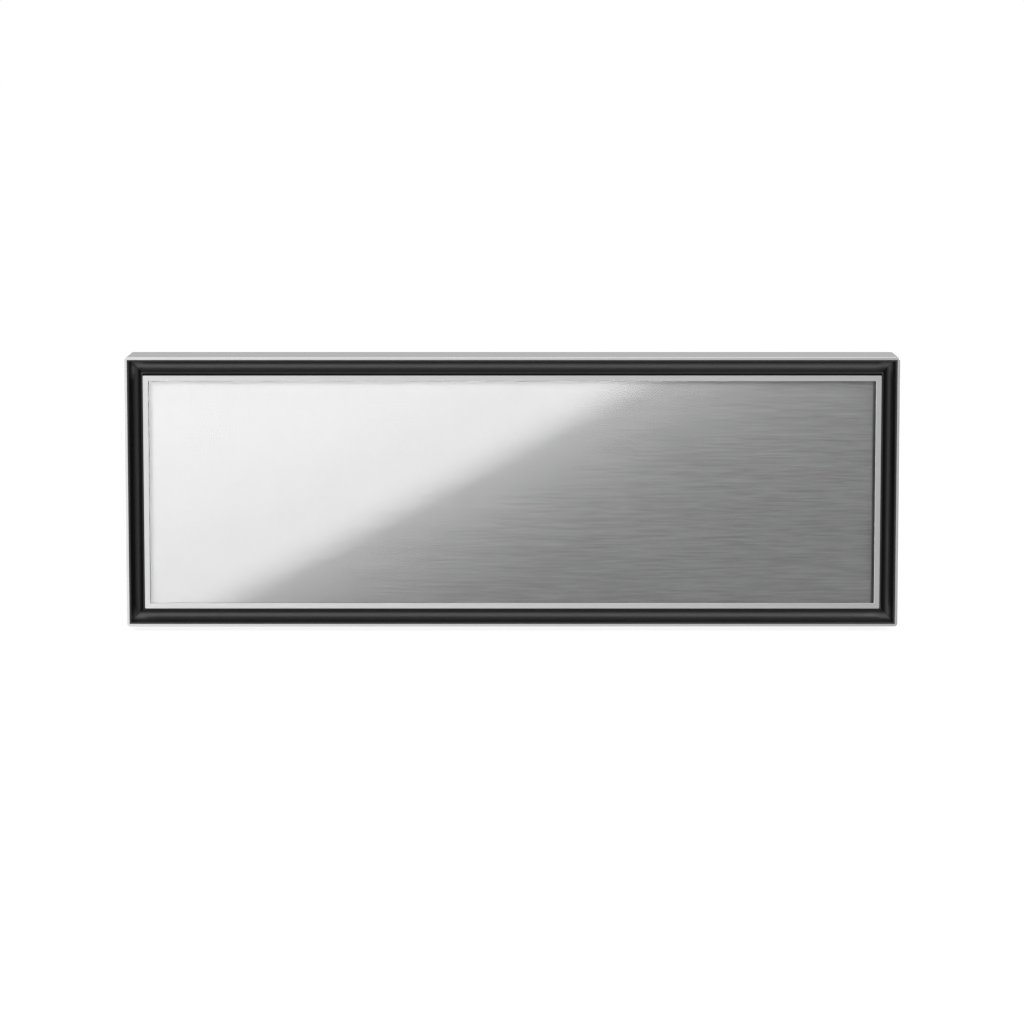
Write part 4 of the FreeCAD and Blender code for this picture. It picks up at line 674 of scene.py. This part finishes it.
def start(name, primitive, scale=(1, 1, 1), **values):
    """Adds a primitive with its place in its mesh, in edit mode with nothing selected."""
    bpy.ops.object.select_all(action="DESELECT")
    getattr(bpy.ops.mesh, "primitive_%s_add" % primitive)(**values)
    piece = bpy.context.object
    piece.name = name
    piece.scale = scale
    bpy.ops.object.transform_apply(location=True, rotation=True, scale=True)
    bpy.ops.object.mode_set(mode="EDIT")
    bpy.ops.mesh.select_all(action="DESELECT")
    return piece


def pick_faces(piece, test):
    """Selects the faces whose middle and normal pass a test."""
    bpy.ops.mesh.select_mode(type="FACE")
    bpy.ops.mesh.select_all(action="DESELECT")
    shape = bmesh.from_edit_mesh(piece.data)
    for face in shape.faces:
        if test(face.calc_center_median(), face.normal):
            face.select_set(True)
    bmesh.update_edit_mesh(piece.data)


def pick_edges(piece, test):
    """Selects the edges whose two ends pass a test."""
    bpy.ops.mesh.select_mode(type="EDGE")
    bpy.ops.mesh.select_all(action="DESELECT")
    shape = bmesh.from_edit_mesh(piece.data)
    for edge in shape.edges:
        if test(edge.verts[0].co, edge.verts[1].co):
            edge.select_set(True)
    bmesh.update_edit_mesh(piece.data)


def done(piece, slot, body, smooth=35.0):
    """Leaves edit mode, shades the piece, and puts it on its body with its finish."""
    bpy.ops.object.mode_set(mode="OBJECT")
    bpy.ops.object.select_all(action="DESELECT")
    piece.select_set(True)
    bpy.context.view_layer.objects.active = piece
    bpy.ops.object.shade_smooth_by_angle(angle=math.radians(smooth))
    piece.data.materials.clear()
    piece.data.materials.append(finishes[slot])
    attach(piece, body)
    print(piece.name, len(piece.data.polygons), "faces")
    return piece


def join(pieces):
    """Makes one piece of several finished shapes. The first keeps its name."""
    bpy.ops.object.mode_set(mode="OBJECT")
    bpy.ops.object.select_all(action="DESELECT")
    for piece in pieces:
        piece.select_set(True)
    bpy.context.view_layer.objects.active = pieces[0]
    bpy.ops.object.join()
    return pieces[0]


# %% [markdown]
# ## Ribbed mat
# A silicone mat keeps the plates from sliding when the drawer is pulled. It is a thin sheet with
# low ribs from side to side. One rib is modelled and an Array repeats it, which is how the mould
# for such a mat is cut too. The whole stays as thick as the CAD mat.

# %% Ribbed mat
low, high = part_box("base_mat")
middle = (low + high) / 2
skin, mat_corner, rim, rim_step = 0.0011, 0.004, 0.0012, 0.0003
rib_pitch, rib_width, rib_edge, margin = 0.0062, 0.0026, 0.0007, 0.008
mat = start("ribbed_mat", "cube", size=1.0, location=(middle.x, middle.y, low.z + skin / 2),
            scale=(high.x - low.x, high.y - low.y, skin))
pick_edges(mat, lambda a, b: abs(a.z - b.z) > skin / 2)
bpy.ops.mesh.bevel(offset=mat_corner, segments=5, affect="EDGES")
pick_faces(mat, lambda c, n: n.z > nearly_all)
bpy.ops.mesh.inset(thickness=rim)
bpy.ops.transform.translate(value=(0, 0, rim_step))
bpy.ops.object.mode_set(mode="OBJECT")
rib = start("rib", "cube", size=1.0,
            location=(middle.x, low.y + margin, (low.z + skin + high.z) / 2),
            scale=(high.x - low.x - 2 * margin, rib_width, high.z - low.z - skin))
pick_edges(rib, lambda a, b: min(a.z, b.z) > high.z - hair)
bpy.ops.mesh.bevel(offset=rib_edge, segments=3, affect="EDGES")
bpy.ops.object.mode_set(mode="OBJECT")
row = rib.modifiers.new("row", "ARRAY")
row.use_relative_offset = False
row.use_constant_offset = True
row.constant_offset_displace = (0.0, rib_pitch, 0.0)
row_count = int((high.y - low.y - 2 * margin) / rib_pitch) + 1
row.count = row_count
bpy.ops.object.modifier_apply(modifier="row")
print("ribs on the mat:", row_count)
mat = done(join([mat, rib]), "mat_grey", "drawer")
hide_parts("base_mat")

# %% [markdown]
# ## Feet
# Four rubber feet carry the casing. A moulded foot tapers, has a ring of grip near the ground, and
# is hollow where its screw sits. The taper and the hollow come from insetting and extruding the
# flat ends of a cone; the ring is the edge where two insets meet.

# %% Feet
low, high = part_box("feet")
foot_radius, ground_radius = 0.015, 0.0130
tread, ring, lift = 0.0030, 0.0020, 0.0012
lip, hollow = 0.0018, 0.0060
ground_edge, top_edge = 0.0012, 0.0008
feet = []
for x in (low.x + foot_radius, high.x - foot_radius):
    for y in (low.y + foot_radius, high.y - foot_radius):
        foot = start("foot", "cone", vertices=48, radius1=ground_radius, radius2=foot_radius,
                     depth=high.z - low.z, location=(x, y, (low.z + high.z) / 2))
        pick_faces(foot, lambda c, n: n.z < -nearly_all)
        bpy.ops.mesh.inset(thickness=tread)
        bpy.ops.mesh.inset(thickness=ring)
        bpy.ops.transform.translate(value=(0, 0, lift))
        bpy.ops.mesh.inset(thickness=lip)
        bpy.ops.mesh.extrude_region_move(TRANSFORM_OT_translate={"value": (0, 0, hollow)})
        pick_edges(foot, lambda a, b: max(a.z, b.z) < hair
                   and Vector((a.x - x, a.y - y)).length > ground_radius - 0.0005)
        bpy.ops.mesh.bevel(offset=ground_edge, segments=3, affect="EDGES")
        pick_edges(foot, lambda a, b: min(a.z, b.z) > high.z - hair)
        bpy.ops.mesh.bevel(offset=top_edge, segments=2, affect="EDGES")
        bpy.ops.object.mode_set(mode="OBJECT")
        feet.append(foot)
foot_set = join(feet)
foot_set.name = "rubber_feet"
done(foot_set, "black_rubber", "casing")
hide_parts("feet")

# %% [markdown]
# ## Temperature knob
# The knob is turned by a grip across its face. Its rim is fluted for the finger, and a white line
# on the grip points at the marks. A cylinder gives the disc: every third face of its rim is inset
# and pushed in for a flute, and its front is dished. The grip and the stem are bars with softened
# edges, and the pointer is a thin print on the grip.

# %% Temperature knob: disc
low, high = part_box("temperature_knob")
axis_x, axis_z = (low.x + high.x) / 2, (low.z + high.z) / 2
radius = (high.x - low.x) / 2
facing = (math.radians(90), 0, 0)
grip_depth, disc_depth, rim_faces = 0.0030, 0.0070, 72
disc_front = low.y + grip_depth
flute, chamfer, slope, dish = 0.0004, 0.0007, 0.0008, 0.0005
knob = start("dial_knob", "cylinder", vertices=rim_faces, radius=radius, depth=disc_depth,
             location=(axis_x, disc_front + disc_depth / 2, axis_z), rotation=facing)


def on_flute(c, n):
    """Tells whether a face is on the rim and the third of its three."""
    turn = math.atan2(c.z - axis_z, c.x - axis_x) / math.radians(360 / rim_faces)
    return abs(n.y) < 1 - nearly_all and round(turn - 0.5) % 3 == 0


pick_faces(knob, on_flute)
bpy.ops.mesh.inset(thickness=hair, use_individual=True)
bpy.ops.transform.shrink_fatten(value=-flute)
pick_faces(knob, lambda c, n: n.y < -nearly_all and c.y < disc_front + hair)
bpy.ops.mesh.inset(thickness=chamfer)
bpy.ops.mesh.inset(thickness=slope)
bpy.ops.transform.translate(value=(0, dish, 0))
bpy.ops.object.mode_set(mode="OBJECT")

# %% Temperature knob: grip and stem
grip_width, grip_inset, grip_root, grip_corner, grip_edge = 0.0046, 0.0034, 0.0010, 0.0018, 0.0006
grip = start("grip", "cube", size=1.0,
             location=(axis_x, disc_front + grip_root / 2 - grip_depth / 2, axis_z),
             scale=(grip_width, grip_depth + grip_root, 2 * radius - grip_inset))
pick_edges(grip, lambda a, b: abs(a.y - b.y) > 0.001)
bpy.ops.mesh.bevel(offset=grip_corner, segments=5, affect="EDGES")
pick_edges(grip, lambda a, b: max(a.y, b.y) < low.y + hair)
bpy.ops.mesh.bevel(offset=grip_edge, segments=3, affect="EDGES")
bpy.ops.object.mode_set(mode="OBJECT")
stem_radius, stem_root, stem_edge = 0.0030, 0.001, 0.0004
stem = start("stem", "cylinder", vertices=32, radius=stem_radius,
             depth=high.y - disc_front - disc_depth + stem_root,
             location=(axis_x, (high.y + disc_front + disc_depth - stem_root) / 2, axis_z),
             rotation=facing)
pick_edges(stem, lambda a, b: min(a.y, b.y) > high.y - hair)
bpy.ops.mesh.bevel(offset=stem_edge, segments=2, affect="EDGES")
knob = done(join([knob, grip, stem]), "knob_metal", "temperature_dial")
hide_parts("temperature_knob")

# %% Pointer
line_width, line_film, line_edge = 0.0008, 0.00006, 0.0003
line_length, line_middle = 0.42 * radius, 0.52 * radius
pointer = start("dial_pointer", "cube", size=1.0, location=(axis_x, low.y, axis_z + line_middle),
                scale=(line_width, line_film, line_length))
pick_edges(pointer, lambda a, b: abs(a.y - b.y) > line_film / 6)
bpy.ops.mesh.bevel(offset=line_edge, segments=3, affect="EDGES")
done(pointer, "white_plastic", "temperature_dial")

# %% [markdown]
# ## Marks around the knob
# Nothing is written on the panel but a nought for off, and dots that grow clockwise with the heat,
# the way such dials are printed. The marks are a print, so each is a raised film a few hundredths
# of a millimetre thick. The nought is a text that is turned to a mesh.

# %% Marks around the knob
panel_low, panel_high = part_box("control_panel")
film = 0.00005
circle, step, dots = 0.01205, 30.0, 9
first_dot, growth = 0.00028, 0.00004
nought_size, nought_height = 0.0034, 0.0124
marks = []
for k in range(dots):
    turn = math.radians(step * (k + 1))
    place = (axis_x + circle * math.sin(turn), panel_low.y - film / 2,
             axis_z + circle * math.cos(turn))
    dot = start("dot", "cylinder", vertices=24, radius=first_dot + growth * k, depth=2 * film,
                location=place, rotation=facing)
    pick_edges(dot, lambda a, b: max(a.y, b.y) < panel_low.y - film)
    bpy.ops.mesh.bevel(offset=film / 2, segments=1, affect="EDGES")
    marks.append(dot)
    bpy.ops.object.mode_set(mode="OBJECT")
bpy.ops.object.select_all(action="DESELECT")
bpy.ops.object.text_add(location=(axis_x, panel_low.y, axis_z + nought_height), rotation=facing)
nought = bpy.context.object
nought.data.body = "0"
nought.data.size = nought_size
nought.data.align_x = "CENTER"
nought.data.extrude = film
bpy.ops.object.convert(target="MESH")
bpy.ops.object.transform_apply(location=True, rotation=True, scale=True)
marks.insert(0, nought)
printed = join(marks)
printed.name = "dial_marks"
done(printed, "white_plastic", "casing")

# %% [markdown]
# ## Pressed beads
# Thin sheet is stiffened by beads that are pressed into it, long and shallow, with sloping flanks
# and round ends. A bead starts as a bar thinner than the sheet that lies on it. Its ends are
# rounded nearly into half circles, its top is inset and lifted, and the upper rim is softened.

# %% Pressed beads
def bead(name, middle, length, width, along, outwards):
    """One bead: its middle on the sheet, the axis it runs along, and the side it rises to."""
    across = Vector(along).cross(Vector(outwards))
    bar, rise, flank, soft_rim, crown = 0.0004, 0.0009, 0.0026, 0.0006, 0.0001
    end_radius = 0.42 * width
    size = [abs(length * a + width * c + bar * o) for a, c, o in zip(along, across, outwards)]
    piece = start(name, "cube", size=1.0, location=middle, scale=size)
    pick_edges(piece, lambda a, b: abs((a - b).dot(Vector(outwards))) > bar / 2)
    bpy.ops.mesh.bevel(offset=end_radius, segments=8, affect="EDGES")
    pick_faces(piece, lambda c, n: n.dot(Vector(outwards)) > nearly_all)
    bpy.ops.mesh.inset(thickness=flank)
    bpy.ops.transform.translate(value=Vector(outwards) * rise)
    bpy.ops.mesh.inset(thickness=soft_rim)
    bpy.ops.transform.translate(value=Vector(outwards) * crown)
    bpy.ops.object.mode_set(mode="OBJECT")
    return piece


low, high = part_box("top_cover")
cover_length, cover_width, cover_rows = 0.40, 0.012, (-0.13, -0.03, 0.07)
side_length, side_width, side_rows = 0.30, 0.010, (0.055, 0.128)
beads = [
    bead("cover_beads", (0.0, y, high.z), cover_length, cover_width, (1, 0, 0), (0, 0, 1))
    for y in cover_rows
]
done(join(beads), "galvanised", "casing")
for side, name in ((-1, "left_beads"), (1, "right_beads")):
    wall = side * high.x
    beads = [
        bead(name, (wall, 0.0, z), side_length, side_width, (0, 1, 0), (side, 0, 0))
        for z in side_rows
    ]
    done(join(beads), "galvanised", "casing")

# %% [markdown]
# ## Finish
# The size of the visible model is printed. The visible model has to stay as large as the
# CAD part.

# %% Finish
low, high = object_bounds()
print("visual size in mm:", [round(1000 * v, 1) for v in high - low])
